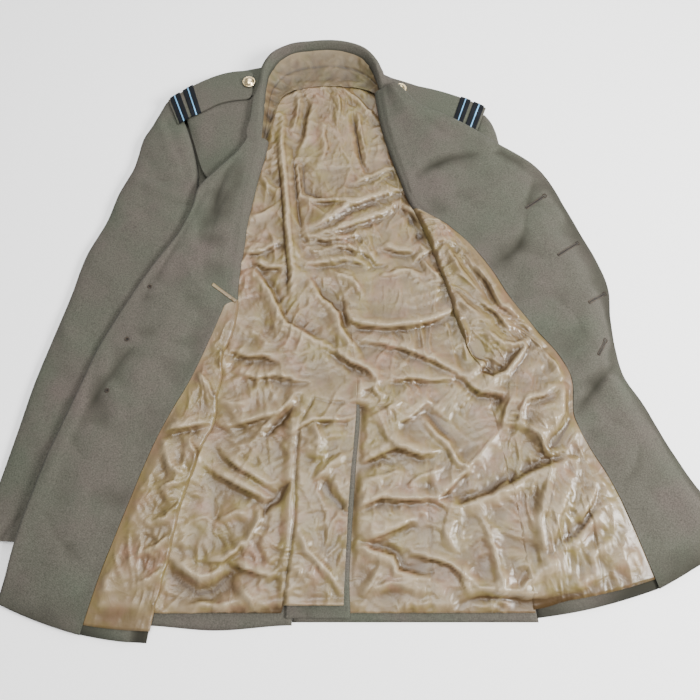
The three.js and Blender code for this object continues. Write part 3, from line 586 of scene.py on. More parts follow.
# %% Folds of the fronts: x0, y0, x1, y1, half width, rise
FRONT_FOLDS = {
    "left": [
        [-185, 190, -225, 100, 14, 2.2], [-150, 190, -165, 120, 16, 1.5],
        [-235, 40, -200, 20, 16, 1.6], [-262, -20, -215, -60, 18, 1.8],
        [-300, -120, -250, -150, 20, 1.6], [-325, -60, -345, -170, 14, 1.2],
        [-215, -150, -235, -250, 12, 1.8], [-180, -130, -200, -230, 10, 1.4],
        [-150, 262, -178, 214, 9, 1.2], [-205, 172, -172, 60, 10, 1.3],
        [-175, 150, -162, 60, 9, 1.0], [-241, 74, -212, 52, 9, 1.4], [-262, 30, -190, 40, 8, 0.9],
        [-255, 6, -196, -8, 8, 1.2], [-290, -8, -262, -84, 9, 1.3], [-277, -55, -240, -72, 8, 1.1],
        [-305, -70, -330, -150, 8, 1.1], [-285, -110, -300, -210, 13, 1.2],
        [-330, -190, -300, -262, 12, 1.0], [-262, -190, -292, -262, 12, 1.0],
        [-151, 243, -167, 150, 10, 1.2],
    ],
    "right": [
        [110, 270, 175, 262, 20, 2.6], [175, 262, 225, 215, 18, 2.2],
        [120, 230, 190, 205, 20, 1.6], [215, 160, 262, 175, 14, 1.6], [225, 90, 275, 100, 16, 1.8],
        [215, 40, 285, 45, 20, 2.0], [275, -10, 305, -60, 16, 1.8], [235, -60, 215, -105, 14, 3.4],
        [185, -60, 250, -100, 16, 2.6], [330, -90, 300, -170, 20, 1.6],
        [230, -160, 215, -250, 16, 2.4], [265, -170, 290, -235, 14, 1.8],
        [75, 330, 130, 300, 11, 1.0], [90, 250, 128, 190, 12, 1.2], [140, 180, 210, 150, 13, 1.3],
        [248, 205, 262, 172, 10, 1.2], [200, 120, 250, 90, 11, 1.0], [292, 64, 312, 10, 9, 1.6],
        [300, 5, 262, -32, 8, 1.4], [312, -4, 280, -42, 9, -1.2], [270, -60, 305, -130, 12, 1.2],
        [350, -110, 372, -180, 13, 1.2], [300, -140, 340, -215, 12, 1.0],
    ],
}


# %% Lines pressed into the fronts: half width, rise, side, points
FRONT_LINES = {
    "left": [
        (16, -3.6, 0, [(-150, 214), (-163, 186), (-170, 160), (-176, 120)]),
        (9, -3.4, 0, [(-176, 214), (-189, 192), (-204, 158), (-215, 129), (-229, 96), (-240, 69)]),
        (8, -2.4, 0, [(-140, 262), (-158, 232), (-168, 200), (-172, 168)]),
        (10, -2.8, 0, [(-245, 6), (-262, -14), (-284, -50), (-300, -84)]),
        (6, -1.6, 0, [(-243, 92), (-242, 74), (-246, 52)]),
        (8, -1.8, 0, [(-318, -96), (-296, -128), (-262, -140)]),
        (8, -1.6, 0, [(-336, -176), (-318, -210), (-290, -236)]),
        (6, 1.6, 0, [(-206, 120), (-190, 84), (-170, 62)]),
    ],
    "right": [
        (9, -3.0, 0, [(70, 214), (79, 225), (104, 241), (129, 252), (160, 257), (194, 260),
                      (216, 248), (230, 230)]),
        (8, -2.6, 0, [(238, 226), (229, 202), (223, 180)]),
        (8, -3.0, 0, [(224, 184), (218, 152), (209, 130), (195, 117), (177, 107)]),
        (8, -3.4, 0, [(314, -16), (290, -42), (258, -78)]),
        (8, -1.6, 0, [(246, 66), (268, 40), (280, 8)]),
        (8, -1.8, 0, [(330, -104), (318, -140), (296, -168)]),
        (6, 1.6, 0, [(208, 234), (180, 206), (150, 190)]),
    ],
}


# %% A point of a front from its distance to the edge
def front_rows(side, t):
    """Stations of a front at each t, as columns (n x 1), with the lengths along each row."""
    table, middle, hem_bow = FRONTS[side]
    v = catmull(table, t)[..., None]
    names = ["ex", "ey", "sx", "sy", "rx", "ry", "ez", "mz", "sz", "rz", "wrap"]
    r = {name: v[:, k] for k, name in enumerate(names)}
    if side == "left":   # the free roll wanders a little along its length
        wander = smooth((t - 0.4) / 0.1)[:, None]
        r["rx"] = r["rx"] + wander * 3.4 * noise(t * FRONT_LENGTH, t * 0, 26, 57)[:, None]
        r["rz"] = r["rz"] + wander * 1.2 * noise(t * FRONT_LENGTH, t * 0, 31, 58)[:, None]
    r["facing"] = np.hypot(r["sx"] - r["ex"], r["sy"] - r["ey"])
    r["lining"] = np.maximum(np.hypot(r["rx"] - r["sx"], r["ry"] - r["sy"]), 0.1)
    r["flat"] = r["facing"] + r["lining"]
    reach = np.hypot(r["rx"] - r["ex"], r["ry"] - r["ey"])
    r["ix"], r["iy"] = (r["rx"] - r["ex"]) / reach, (r["ry"] - r["ey"]) / reach
    r["radius"] = (r["rz"] - FOLD_FLOOR) / 2
    r["turned"] = r["flat"] + np.pi * r["radius"]
    r["seam"] = mix(r["facing"], r["turned"] + 5, np.clip(r["wrap"], 0, 1))
    r["middle"] = r["facing"] * middle
    r["bow"] = hem_bow * smooth((t - 0.86) / 0.14)[:, None]
    return r


def front_point(side, r, s, folded=1.0):
    """Point at distance s from the edge; `folded` scales its folds.

    Up to the roll the height goes edge -> middle -> seam -> roll by smooth steps plus the folds;
    then half a circle of the row's radius, inwards and down; then straight back under.
    """
    on_facing = s < r["facing"]
    f = np.where(on_facing, s / r["facing"], (s - r["facing"]) / r["lining"])
    f = np.clip(f, 0, 1)
    x = np.where(on_facing, mix(r["ex"], r["sx"], f), mix(r["sx"], r["rx"], f))
    y = np.where(on_facing, mix(r["ey"], r["sy"], f), mix(r["sy"], r["ry"], f))
    g = np.clip(s / r["flat"], 0, 1)
    y = y - r["bow"] * 4 * g * (1 - g)
    past_middle = smooth((s - r["middle"]) / (r["facing"] - r["middle"]))
    z = mix(r["ez"], r["mz"], smooth(s / r["middle"]))
    z = np.where(s > r["middle"], mix(r["mz"], r["sz"], past_middle), z)
    z = np.where(on_facing, z, mix(r["sz"], r["rz"], smooth((s - r["facing"]) / r["lining"])))
    calm = smooth((r["flat"] - s) / 18) * smooth(s / 12)
    folds = folds_height(FRONT_FOLDS[side], x, y) + crease_height(FRONT_LINES[side], x, y)
    turn = np.clip((s - r["flat"]) / r["radius"], 0, np.pi)
    inward = r["radius"] * np.sin(turn) - np.maximum(s - r["turned"], 0)
    z = z + folded * calm * folds - r["radius"] + r["radius"] * np.cos(turn)
    return np.stack([x + r["ix"] * inward, y + r["iy"] * inward, z], -1)


def front_drop(r, s):
    """How far the right front comes down on to the back lining near its roll, below the waist."""
    return (r["rz"] - 3.8) * smooth((s - r["flat"] + 60) / 60)


def laid_flat(y):
    """0 above the waist and 1 below it, where the right front lies on the back lining."""
    return smooth((20 - y) / 50)


def front_columns(start, stop, count):
    """`count` distances in each row from `start` to `stop`, evenly spread."""
    return start + (stop - start) * np.linspace(0, 1, count)[None, :]


# %% Tape at the top of the left lining
def make_tape(facing):
    """A flat strip 4 mm wide between two points, on the facing and out over the roll."""
    f, w = np.meshgrid(np.linspace(0, 1, 40), np.linspace(-2, 2, 6), indexing="ij")
    x, y = mix(-166, -138, f) + w * 0.55, mix(78, 58, f) + w * 0.83
    z = np.maximum(height_on(facing, x, y), 12.5) + 1.0 - 0.05 * w**2
    piece = wall(cloth_mesh("lining_tape_satin", np.stack([x, y, z], -1), SATIN), 0.6)
    return fit(piece, ["lining_tape"])


# %% Painted shade of the facings where they lie in hollows: x0, y0, x1, y1, half width, depth
HOLLOW_SHADE = {
    "left": [
        [-136, 240, -158, 178, 14, 0.9], [-160, 172, -168, 84, 13, 0.9],
        [-150, 236, -182, 160, 12, 0.7], [-262, -20, -300, -84, 15, 0.6],
        [-318, -150, -262, -176, 12, 0.3],
    ],
    "right": [
        [100, 242, 190, 262, 12, 0.4], [216, 150, 180, 108, 14, 0.4],
        [296, -50, 262, -84, 13, 0.5],
    ],
}
EYELETS = [(-241, 74), (-261, 7), (-277, -55)]


# %% Facing: the wool inside of each front
FACING_ROWS, FACING_FLAT, FACING_TURN = 220, 58, 16   # points down, across and round the roll


def make_facing(side):
    """Rows down the front, columns from the edge to the seam; the edge is turned over softly."""
    t = np.linspace(0, 1, FACING_ROWS)
    r = front_rows(side, t)
    turn_start = np.minimum(r["flat"] - 6, r["seam"] - 4)
    body = front_columns(0.0, turn_start, FACING_FLAT)
    tail = front_columns(turn_start, r["seam"] - 0.1, FACING_TURN)[:, 1:]
    s = np.concatenate([body, tail], 1)
    grid = front_point(side, r, s)
    x, y = grid[..., 0], grid[..., 1]
    quiet = smooth((r["flat"] - s) / 20)
    grid[..., 2] += quiet * (0.45 * noise(x, y, 34, 3) + 0.25 * noise(x, y, 15, 4) + 0.5)
    grid[..., 2] -= rounded(s, 3.5, 1.5)
    for ex, ey in EYELETS if side == "left" else []:
        away = np.hypot(x - ex, y - ey)
        pit, swell = 1.3 * np.exp(-((away / 5.0) ** 2)), 0.5 * np.exp(-((away / 13.0) ** 2))
        grid[..., 2] -= pit - swell
    # Painted shade in the hollows of the facing.
    hollow = np.maximum(folds_height(HOLLOW_SHADE[side], x, y), 0) * quiet
    panel(f"facing_{side}", grid, WOOL_PANEL, painted_shade=hollow,
          trim=make_tape if side == "left" else None)
    return grid


facing_left = make_facing("left")
facing_right = make_facing("right")


# %% Outer cloth of the fronts, face down
OUTER_ROWS, OUTER_COLUMNS = 90, 36


def make_outer(side):
    """The same path 2 mm further down, from the edge to just short of the turned lining.

    At the left hem and below the waist on the right it runs on to the roll.
    """
    t = np.linspace(0, 1, OUTER_ROWS)
    r = front_rows(side, t)
    at_hem = smooth((t - 0.93) / 0.05)[:, None]
    lies = laid_flat(r["ry"]) if side == "right" else at_hem
    s = front_columns(0.0, r["flat"] - (FOLD_RETURN + 2) * (1 - lies), OUTER_COLUMNS)
    grid = front_point(side, r, s, folded=0.8)
    apart = smooth(s / 40) * (1 - smooth((t - 0.9) / 0.08))[:, None]
    grid[..., 2] -= CLOTH + 0.35 + 1.3 * apart
    grid[..., 2] += rounded(s, 3.5, 0.25)
    if side == "right":
        grid[..., 2] = np.maximum(grid[..., 2] - front_drop(r, s) * lies, CLOTH + 0.4)
    else:
        grid[..., 2] = mix(grid[..., 2], CLOTH + 0.8, at_hem * smooth((s - r["flat"] + 24) / 14))
    panel(f"front_{side}", grid, WOOL_PANEL)


make_outer("left")
make_outer("right")

# %% [markdown]
# ## Loose satin
# The lining is cut larger than the space it lies in, so it crumples. A loose cloth keeps the
# length of every thread, and that is how it is settled here: start from a flat sheet with the main
# folds pushed up, make each thread a few per cent too long, then again and again pull every
# thread back to its own length while the cloth sinks on to what lies under it. The points stand in
# a lattice of triangles, so no direction is favoured. Done on a coarse lattice first and then on
# finer ones, it gives broad folds with small sharp creases between them. The result is kept as a
# field of shifts, which any lining panel can read at its own points.

# %% A lattice of triangles
FIELD_X, FIELD_Y, FIELD_WIDE, FIELD_LONG = -310.0, -335.0, 672.0, 740.0
ROW = math.sqrt(3) / 2   # height of a triangle whose side is 1


def lattice(side):
    """Points of the lattice: each row is half a side further along, and wraps round at the end."""
    rows, cols = int(round(FIELD_LONG / (side * ROW))) + 1, int(round(FIELD_WIDE / side))
    j, i = np.arange(rows)[:, None], np.arange(cols)[None, :]
    return FIELD_X + (i + 0.5 * j) % cols * side, FIELD_Y + j * side * ROW + 0.0 * i


def cubic_weights(f):
    """Catmull-Rom weights of the four neighbours at fraction f."""
    return (-f / 2 + f**2 - f**3 / 2, 1 - 2.5 * f**2 + 1.5 * f**3,
            f / 2 + 2 * f**2 - 1.5 * f**3, f**3 / 2 - f**2 / 2)


def read_field(field, side, x, y):
    """Value of a lattice field at any points, by cubic curves along both lattice directions."""
    rows, cols = field.shape[:2]
    v = np.clip((y - FIELD_Y) / (side * ROW), 0, rows - 1.001)
    u = (x - FIELD_X) / side - 0.5 * v
    i, j = np.floor(u).astype(int), np.floor(v).astype(int)
    along, up = cubic_weights((u - i)[..., None]), cubic_weights((v - j)[..., None])
    total = 0
    for b in range(4):
        level = np.clip(j + b - 1, 0, rows - 1)
        total = total + up[b] * sum(along[c] * field[level, (i + c - 1) % cols] for c in range(4))
    return total


# %% Fine crinkles: direction in degrees, length, width and rise of each family
CRINKLES = [(12, 60, 16, 1.7), (58, 52, 15, 1.6), (100, 60, 16, 1.6), (148, 52, 14, 1.6),
            (30, 30, 8, 0.7), (122, 30, 8, 0.7), (78, 26, 7, 0.6), (170, 30, 8, 0.7)]


def crinkle_height(x, y):
    """Long sharp ridges, (1 - 2.2|n|)^2 of a noise stretched one way, each in its patches."""
    bent_x, bent_y = x + 7 * noise(x, y, 45, 301), y + 7 * noise(x, y, 45, 302)
    z = np.zeros_like(x)
    for k, (turn, long, wide, rise) in enumerate(CRINKLES):
        c, s = math.cos(math.radians(turn)), math.sin(math.radians(turn))
        n = noise((c * bent_x + s * bent_y) * wide / long, c * bent_y - s * bent_x, wide, 310 + k)
        patch = smooth(0.35 + 1.1 * noise(x, y, 62, 330 + k))
        z = z + rise * patch * np.maximum(1 - 2.2 * np.abs(n), 0) ** 2
    return z


# %% Settling the cloth
def thread_pull(d, rest):
    """A quarter of the change that would bring each thread d back to its length."""
    size = np.sqrt((d * d).sum(2, keepdims=True))
    return 0.25 * (1 - rest / size) * d


def one_round(shift, side, rests, stiff, sink, free, top):
    """Sink a little, pull the three families of threads, resist bending, stay in bounds."""
    shift[..., 2] -= sink * free[..., 0]
    d = np.roll(shift, -1, 1) - shift
    d[..., 0] += side
    pull = thread_pull(d, rests[0])
    shift += (pull - np.roll(pull, 1, 1)) * free
    for k, lean in ((1, 0.5), (2, -0.5)):
        above = shift[1:] if k == 1 else np.roll(shift[1:], 1, 1)
        d = above - shift[:-1]
        d[..., 0] += lean * side
        d[..., 1] += ROW * side
        pull = thread_pull(d, rests[k])
        shift[:-1] += pull * free[:-1]
        shift[1:] -= (pull if k == 1 else np.roll(pull, -1, 1)) * free[1:]
    ring = np.roll(shift, 1, 1) + np.roll(shift, -1, 1)
    ring = (ring[1:-1] + shift[2:] + np.roll(shift[2:], 1, 1)
            + shift[:-2] + np.roll(shift[:-2], -1, 1))
    shift[1:-1] += stiff * (ring / 6 - shift[1:-1]) * free[1:-1]
    np.clip(shift[..., 2], 0, top, out=shift[..., 2])


def crumple(creases, spare, top, held, seed, levels, sink, waves):
    """Field of shifts of a loose cloth, and the side of its lattice.

    spare(x, y) gives how much too long the threads are along x, along y and in shear; top and held
    give the highest a point may rise and how far it is sewn down. Each level is the lattice's
    side, the rounds, the stiffness and the size of a new small wave.
    """
    shift, coarse = None, None
    for k, (side, rounds, stiff, kick) in enumerate(levels):
        x, y = lattice(side)
        free = (1 - held(x, y))[..., None]
        if shift is None:
            shift = np.zeros((*x.shape, 3))
            shift[..., 2] = 2.6 + crease_height(creases, x, y)
            for n, (rise, size) in enumerate(waves):
                shift[..., 2] += rise * noise(x, y, size, seed + n)
            shift *= free
        else:
            shift = read_field(shift, coarse, x, y)
            shift[..., 2] += kick * noise(x, y, 4.0 * side, seed + 10 + k) * free[..., 0]
        coarse = side
        along, up, shear = spare(x, y)
        rests = [side * (1 + along * c * c + up * d * d + 2 * shear * c * d)[..., None]
                 for c, d in ((1.0, 0.0), (0.5, ROW), (-0.5, ROW))]
        rests = [rests[0], rests[1][:-1], rests[2][:-1]]
        limit = top(x, y)
        for _ in range(rounds):
            one_round(shift, side, rests, stiff, sink, free, limit)
        print(f"satin on a {side} mm lattice: mean height {shift[..., 2].mean():.2f} mm")
    return shift, coarse


# %% [markdown]
# ## Back lining
# One big sheet from collar to hem, settled in one go and then parted at the centre back, where
# the real lining has its seam. Below the waist the left half lies over the vent flap, so it is
# lifted there, and the right half runs on underneath.

# %% Outline of the back lining: y, left, middle, right, lift left, lift right, base
BACK_LINING = [
    [386, -66, -29, 8, 0, 0, 0], [372, -80, -27, 26, 1, 0, 0], [356, -100, -26, 42, 3, 0, 0],
    [336, -113, -25, 53, 5, 0, 0], [310, -118, -23, 60, 4, 0, 0], [286, -118, -21, 66, 0, 0, 0],
    [250, -134, -18, 74, 0, 0, 0], [200, -142, -14, 90, 0, 0, 0], [150, -148, -9, 112, 0, 0, 0],
    [100, -152, -5, 127, 0, 0, 0], [50, -152, 0, 137, 0, 0, 0], [0, -162, 4, 146, 0, 0, 0],
    [-34, -166, 7, 152, 0, 0, 0], [-60, -169, 7, 158, 0, 0, 4.4], [-90, -175, 6, 164, 0, 0, 4.4],
    [-135, -188, 2, 172, 0, 0, 4.4], [-180, -198, -2, 180, 0, 0, 4.4],
    [-240, -210, -5, 188, 0, 0, 4.4], [-292, -222, -7, 192, 0, 0, 4.4],
]
LINING_REST = 3.4      # height of the flat lining above the table
LINING_ROWS, LINING_COLUMNS = 320, 96
SEWN_RIM = 0.0015      # share of the width that the sewn rim takes

# %% Creases of the lining
# Each crease is half width, rise, side of its trough (1 left, -1 right, 0 none) and its points,
# from the neck to the shoulder blades: the long pillar on the left and its neighbours
NECK_FOLDS = [
    (6.5, 6, 0, [(-90, 326), (-91, 282), (-86, 241), (-81, 190), (-77, 146), (-71, 105),
                 (-71, 75)]),
    (2.2, -3, 0, [(-98, 293), (-93, 245), (-87, 193), (-83, 146), (-78, 102), (-76, 53)]),
    (2.2, -3, 0, [(-75, 276), (-70, 223), (-65, 179), (-59, 143)]),
    (3, 3.5, 0, [(-70, 260), (-66, 233), (-63, 206), (-49, 201)]),
    (3.5, -3, 0, [(-62, 259), (-60, 235), (-57, 214), (-41, 206), (-24, 201)]),
    (3, 3.5, -1, [(-56, 201), (-23, 199), (12, 195)]),
    (3, 2.5, 0, [(-56, 199), (-46, 190), (-31, 177)]),
    (4.5, 4.5, -1, [(-58, 157), (-30, 170), (-4, 190), (22, 202), (48, 212), (74, 217)]),
    (4, 3.5, -1, [(-50, 148), (-23, 155), (15, 170), (45, 183), (67, 202)]),
    (3, 3, -1, [(6, 226), (26, 235), (48, 245), (67, 244)]),
    (3, 2.5, -1, [(30, 221), (46, 236), (56, 241)]),
    (2.5, -3, 0, [(4, 326), (8, 301), (14, 263), (16, 250)]),
    (3, 2, 0, [(11, 329), (15, 301), (21, 266)]),
    (5, 2.5, 0, [(-31, 321), (-36, 299), (-32, 277), (-39, 254)]),
    (3, 2.5, 0, [(-68, 363), (-71, 331), (-77, 299)]),
    (4, 3, -1, [(-48, 355), (-55, 326), (-58, 294), (-66, 276)]),
    (4, 2.5, 0, [(-18, 368), (-14, 342), (-17, 315)]),
    (3, 3, 1, [(-8, 371), (8, 358), (20, 344), (35, 326)]),
]

# across the waist
MIDDLE_FOLDS = [
    (4, 3, -1, [(-57, 148), (-30, 143), (-4, 146), (23, 155)]),
    (4, 3.5, -1, [(-53, 109), (-30, 113), (-4, 116), (24, 109)]),
    (4, 3, -1, [(40, 135), (60, 129), (79, 129)]),
    (3.5, 3, -1, [(79, 113), (92, 123), (101, 129)]),
    (4, 3, -1, [(-40, 127), (-13, 134), (15, 127), (35, 113)]),
    (4, 2.5, 0, [(-25, 99), (2, 89), (15, 73)]), (4, 2.5, 0, [(43, 95), (68, 102), (92, 94)]),
    (8, -5, 0, [(-39, 73), (-24, 58), (-7, 54)]),
    (3.5, 6, 1, [(-45, 83), (-37, 67), (-22, 56), (-15, 44), (-13, 28), (-4, 13), (9, -2)]),
    (3.8, 6.5, -1, [(-5, 54), (0, 37), (14, 31), (42, 28), (76, 31), (101, 37), (122, 48)]),
    (3.5, 5.5, 1, [(-117, 99), (-99, 74), (-89, 53), (-79, 33), (-62, 22), (-44, 11), (-26, 3)]),
    (3, 4, -1, [(-135, 125), (-115, 125), (-99, 134), (-84, 145)]),
    (3, 3, -1, [(-122, 114), (-102, 106), (-82, 106)]),
    (3.5, 3, 0, [(-127, 172), (-112, 179), (-95, 192)]),
    (3.5, 3, 0, [(-115, 238), (-106, 221), (-93, 212)]), (3.5, -4, 0, [(75, 173), (80, 167)]),
    (4.5, -4, 0, [(84, 153), (91, 146)]), (3.5, 3, -1, [(64, 193), (79, 183), (90, 165)]),
    (3, 3, 0, [(87, 118), (101, 99), (118, 83)]),
    (4, 4, -1, [(-19, -2), (2, -17), (19, -24), (33, -39)]),
    (4, 3.5, -1, [(12, 11), (38, 7), (75, -3), (104, -17), (136, -36)]),
    (3, 3.5, -1, [(44, -39), (70, -36), (98, -39), (129, -35)]),
    (4, 3, -1, [(9, -65), (14, -51), (26, -46), (32, -58)]),
]

# the left skirt
LEFT_FOLDS = [
    (5, 4, -1, [(-140, -91), (-115, -86), (-83, -77), (-66, -62)]),
    (3, -4, 0, [(-100, -112), (-90, -99), (-73, -83), (-60, -64)]),
    (4, 3.5, 0, [(-107, -107), (-94, -91), (-76, -73), (-63, -56)]),
    (3.5, 4.5, -1, [(-144, -123), (-125, -139), (-107, -149), (-89, -161)]),
    (4.5, 5, -1, [(-154, -143), (-133, -154), (-115, -163), (-95, -172)]),
    (4, -4, 0, [(-98, -201), (-93, -185), (-79, -172), (-63, -153)]),
    (3.5, 4, 0, [(-90, -176), (-99, -197), (-106, -213), (-114, -229), (-120, -237)]),
    (7, -5, 0, [(-194, -249), (-182, -261), (-161, -273), (-144, -270), (-133, -259),
                (-124, -249)]),
    (5.5, 5.5, 0, [(-191, -235), (-176, -247), (-160, -256), (-145, -253), (-131, -239)]),
    (3, 4, -1, [(-124, -243), (-102, -250), (-82, -255)]),
    (3.5, 4, -1, [(-157, -239), (-137, -239), (-123, -229), (-113, -216)]),
    (5, 4, 0, [(-178, -289), (-158, -283), (-137, -285), (-116, -279)]),
    (4, 3.5, 0, [(-117, -264), (-105, -276), (-99, -289)]),
    (4, 3.5, 0, [(-140, -197), (-125, -189), (-112, -191)]),
    (4, 3, 0, [(-153, -60), (-136, -68), (-118, -65)]),
    (4, 4, -1, [(-140, -2), (-121, -9), (-104, -7), (-83, -17)]),
    (4, 4, -1, [(-131, -29), (-110, -36), (-87, -32), (-58, -39)]),
    (3.5, 3.5, 0, [(-125, 26), (-110, 17), (-95, 2)]),
]

# over the vent flap
FLAP_FOLDS = [
    (3.5, 3, 0, [(-35, -154), (-25, -141), (-7, -126)]),
    (4, -3.5, 0, [(-31, -154), (-19, -174), (-4, -191)]),
    (4, 3, 0, [(-57, -206), (-44, -231), (-27, -247), (-13, -264)]),
    (4, 3, 0, [(-43, -85), (-34, -110), (-38, -135)]),
    (3, 3, -1, [(-68, -103), (-56, -95), (-41, -87), (-10, -86)]),
]

# the right skirt
RIGHT_FOLDS = [
    (4, 4, -1, [(11, -134), (35, -123), (55, -116), (72, -118)]),
    (4, 4, 1, [(6, -221), (25, -231), (45, -236), (51, -251), (87, -259)]),
    (4, 4, -1, [(14, -218), (34, -211), (53, -204), (73, -194)]),
    (3, 3.5, -1, [(65, -231), (90, -237), (106, -242), (121, -254), (138, -266)]),
    (4, 4, -1, [(2, -184), (34, -172), (66, -174), (97, -172)]),
    (4, -4, 0, [(90, -77), (108, -99), (118, -104)]),
    (3.5, 3.5, 0, [(85, -86), (100, -105), (113, -114)]),
    (4, 4, -1, [(43, -105), (57, -118), (80, -125), (97, -121)]),
    (3.5, 4.5, 0, [(108, -109), (122, -135), (132, -140), (149, -123), (162, -108), (175, -96)]),
    (4, 4.5, -1, [(97, -174), (117, -155), (132, -142)]),
    (4.5, 5, 1, [(99, -176), (119, -184), (143, -176), (172, -165), (199, -149), (245, -132)]),
    (5, 4, 0, [(143, -189), (151, -210), (158, -240), (160, -272)]),
    (5, 3.5, 0, [(115, -192), (106, -213), (113, -231)]),
    (4, -4, 0, [(117, -282), (137, -277), (155, -278), (179, -281), (205, -283), (221, -280),
                (240, -270)]),
    (4, 4, 0, [(117, -273), (138, -267), (159, -269), (185, -271), (212, -273)]),
    (4, 3.5, 0, [(127, -271), (119, -257), (124, -241)]),
    (4, 3.5, 0, [(17, -269), (45, -262), (74, -267)]),
    (4, 3.5, 0, [(32, -247), (23, -261), (13, -275)]),
    (4, 3.5, 0, [(21, -86), (39, -77), (58, -65)]),
    (4, 3.5, -1, [(51, -92), (71, -80), (90, -63)]),
    (4, 3.5, 0, [(16, -154), (38, -150), (60, -143)]),
    (4, 3.5, 0, [(61, -165), (76, -152), (101, -143)]),
]

# the bunch at the waist and the right front
FRONT_RIGHT_FOLDS = [
    (8, -6, 0, [(138, 9), (146, -6), (150, -18)]),
    (4, 6, 1, [(134, 27), (137, 4), (144, -11), (157, -20), (140, -35)]),
    (4.5, 6, 1, [(145, -26), (166, -38), (182, -31), (197, -13), (213, 11)]),
    (4, -4, 0, [(183, -43), (199, -21), (212, 2), (218, 16)]),
    (4, 5, -1, [(135, -40), (150, -52), (180, -57)]),
    (3.5, 5, 0, [(173, -97), (179, -74), (190, -56)]),
    (3.5, 4, 0, [(189, -99), (195, -76), (204, -60)]), (2.5, 2.5, 0, [(180, -78), (193, -82)]),
    (2.5, 2.5, 0, [(178, -90), (191, -92)]),
    (5, -5, 0, [(255, -46), (251, -86), (233, -113), (220, -122)]),
    (6, 4, 0, [(243, -43), (240, -76), (228, -99)]),
    (4, 4, 0, [(221, -124), (210, -102), (197, -94)]),
    (4, 3.5, -1, [(195, -65), (218, -60), (238, -46)]),
    (7, 5, 0, [(222, -149), (213, -176), (205, -197), (207, -234)]),
    (5, 4, 0, [(244, -156), (225, -192), (215, -224)]),
    (3.5, 4, 1, [(268, -166), (257, -186), (249, -199)]),
    (4, 4.5, 1, [(225, -228), (246, -216), (260, -199), (272, -185)]),
    (4, 4, 0, [(181, -266), (201, -251), (224, -237)]), (4, 3.5, 0, [(168, -251), (154, -276)]),
    (4, 3.5, 0, [(250, -239), (267, -227), (281, -218)]),
    (4, 3, 0, [(236, -269), (256, -255), (271, -249)]),
    (4, 3.5, -1, [(179, -153), (165, -164), (155, -176)]), (4, -5, 0, [(177, -154), (181, -155)]),
    (5, 4, 0, [(119, 125), (134, 96), (152, 72)]),
    (5, 4.5, -1, [(147, 109), (168, 82), (180, 52), (203, 36)]),
    (4, 4, 0, [(123, 72), (139, 51), (157, 36)]),
    (4.5, 4.5, 0, [(161, 20), (177, 5), (194, 2), (213, 10)]),
    (4, 3.5, 0, [(203, 36), (219, 20), (235, -2)]),
    (4, 3.5, 0, [(223, -5), (236, -19), (243, -36)]),
    (4, 4, -1, [(154, 59), (175, 43), (190, 20)]),
]

# the left front
FRONT_LEFT_FOLDS = [
    (3.5, 4, -1, [(-211, -99), (-190, -96), (-162, -90)]),
    (3.5, 3.5, 0, [(-206, -122), (-198, -140), (-184, -149)]),
    (4, 3.5, 0, [(-216, -201), (-199, -195), (-183, -178)]),
    (4, 3.5, 0, [(-224, -231), (-205, -224), (-191, -212)]),
    (4, 3.5, 0, [(-226, -264), (-211, -257), (-195, -245)]),
    (4, 3.5, 0, [(-184, -111), (-172, -124), (-173, -142)]),
    (4, 3.5, 0, [(-179, -29), (-164, -46), (-156, -67)]),
    (3.5, 3, 0, [(-167, 8), (-152, -7), (-144, -29)]),
    (4, 3, 0, [(-209, -166), (-196, -159), (-185, -157)]),
    (4, 3, 0, [(-209, -279), (-199, -293), (-206, -307)]),
]
CREASES = (NECK_FOLDS + MIDDLE_FOLDS + LEFT_FOLDS + FLAP_FOLDS + RIGHT_FOLDS + FRONT_RIGHT_FOLDS
           + FRONT_LEFT_FOLDS)
print(len(CREASES), "creases placed by hand")


# %% The crumpled satin as a field
LEVELS = ((6, 70, 0.003, 0.0), (3.4, 50, 0.004, 0.2))   # side, rounds, stiffness, new wave
WAVES = ((2.6, 70), (1.0, 34))                          # rise and size of the first waves
SEED, SINK = 11, 0.004


def spare_cloth(x, y):
    """More spare cloth in some patches than in others, and a shear that turns the creases there."""
    patch = 0.012 + 0.018 * smooth(0.5 + 0.9 * noise(x, y, 75, 201))
    turn = 0.035 * noise(x, y, 120, 202) + 0.012
    return patch * 0.9, patch * 1.1, turn


def satin_top(x, y):
    """Folds may rise 11 mm in the middle and less towards the hem."""
    return 11.0 - 5.0 * smooth((-230 - y) / 60)


def sewn_down(x, y):
    """The hem and the neck are sewn flat."""
    return np.maximum(smooth((-284 - y) / 8), smooth((y - 380) / 8)) * 0.9


SATIN_FIELD, SATIN_SIDE = crumple(CREASES, spare_cloth, satin_top, sewn_down, SEED, LEVELS, SINK,
                                  WAVES)

# half width, depth, no side, points of each sewn groove
LINING_SEAMS = [
    (1.5, 0.9, 0, [(-157, -128), (-151, -160), (-150, -228), (-146, -286)]),
    (1.8, 3.2, 0, [(-57, -93), (-61, -132), (-61, -200), (-66, -240), (-71, -290)]),
    (1.8, 2.2, 0, [(-57, -92), (-42, -61), (-25, -66), (8, -69)]),
    (1.5, 0.9, 0, [(88, -114), (87, -190), (86, -287)]),
    (1.5, 0.9, 0, [(252, -150), (262, -200), (268, -262)]),
]


def seam_groove(x, y):
    """Depth of the sewn seams: depth * exp(-(distance / half)^2)."""
    z = np.zeros_like(x)
    for half, depth, _, near, _, _ in crease_places(LINING_SEAMS, x, y):
        z = np.maximum(z, depth * np.exp(-((near / half) ** 2)))
    return z


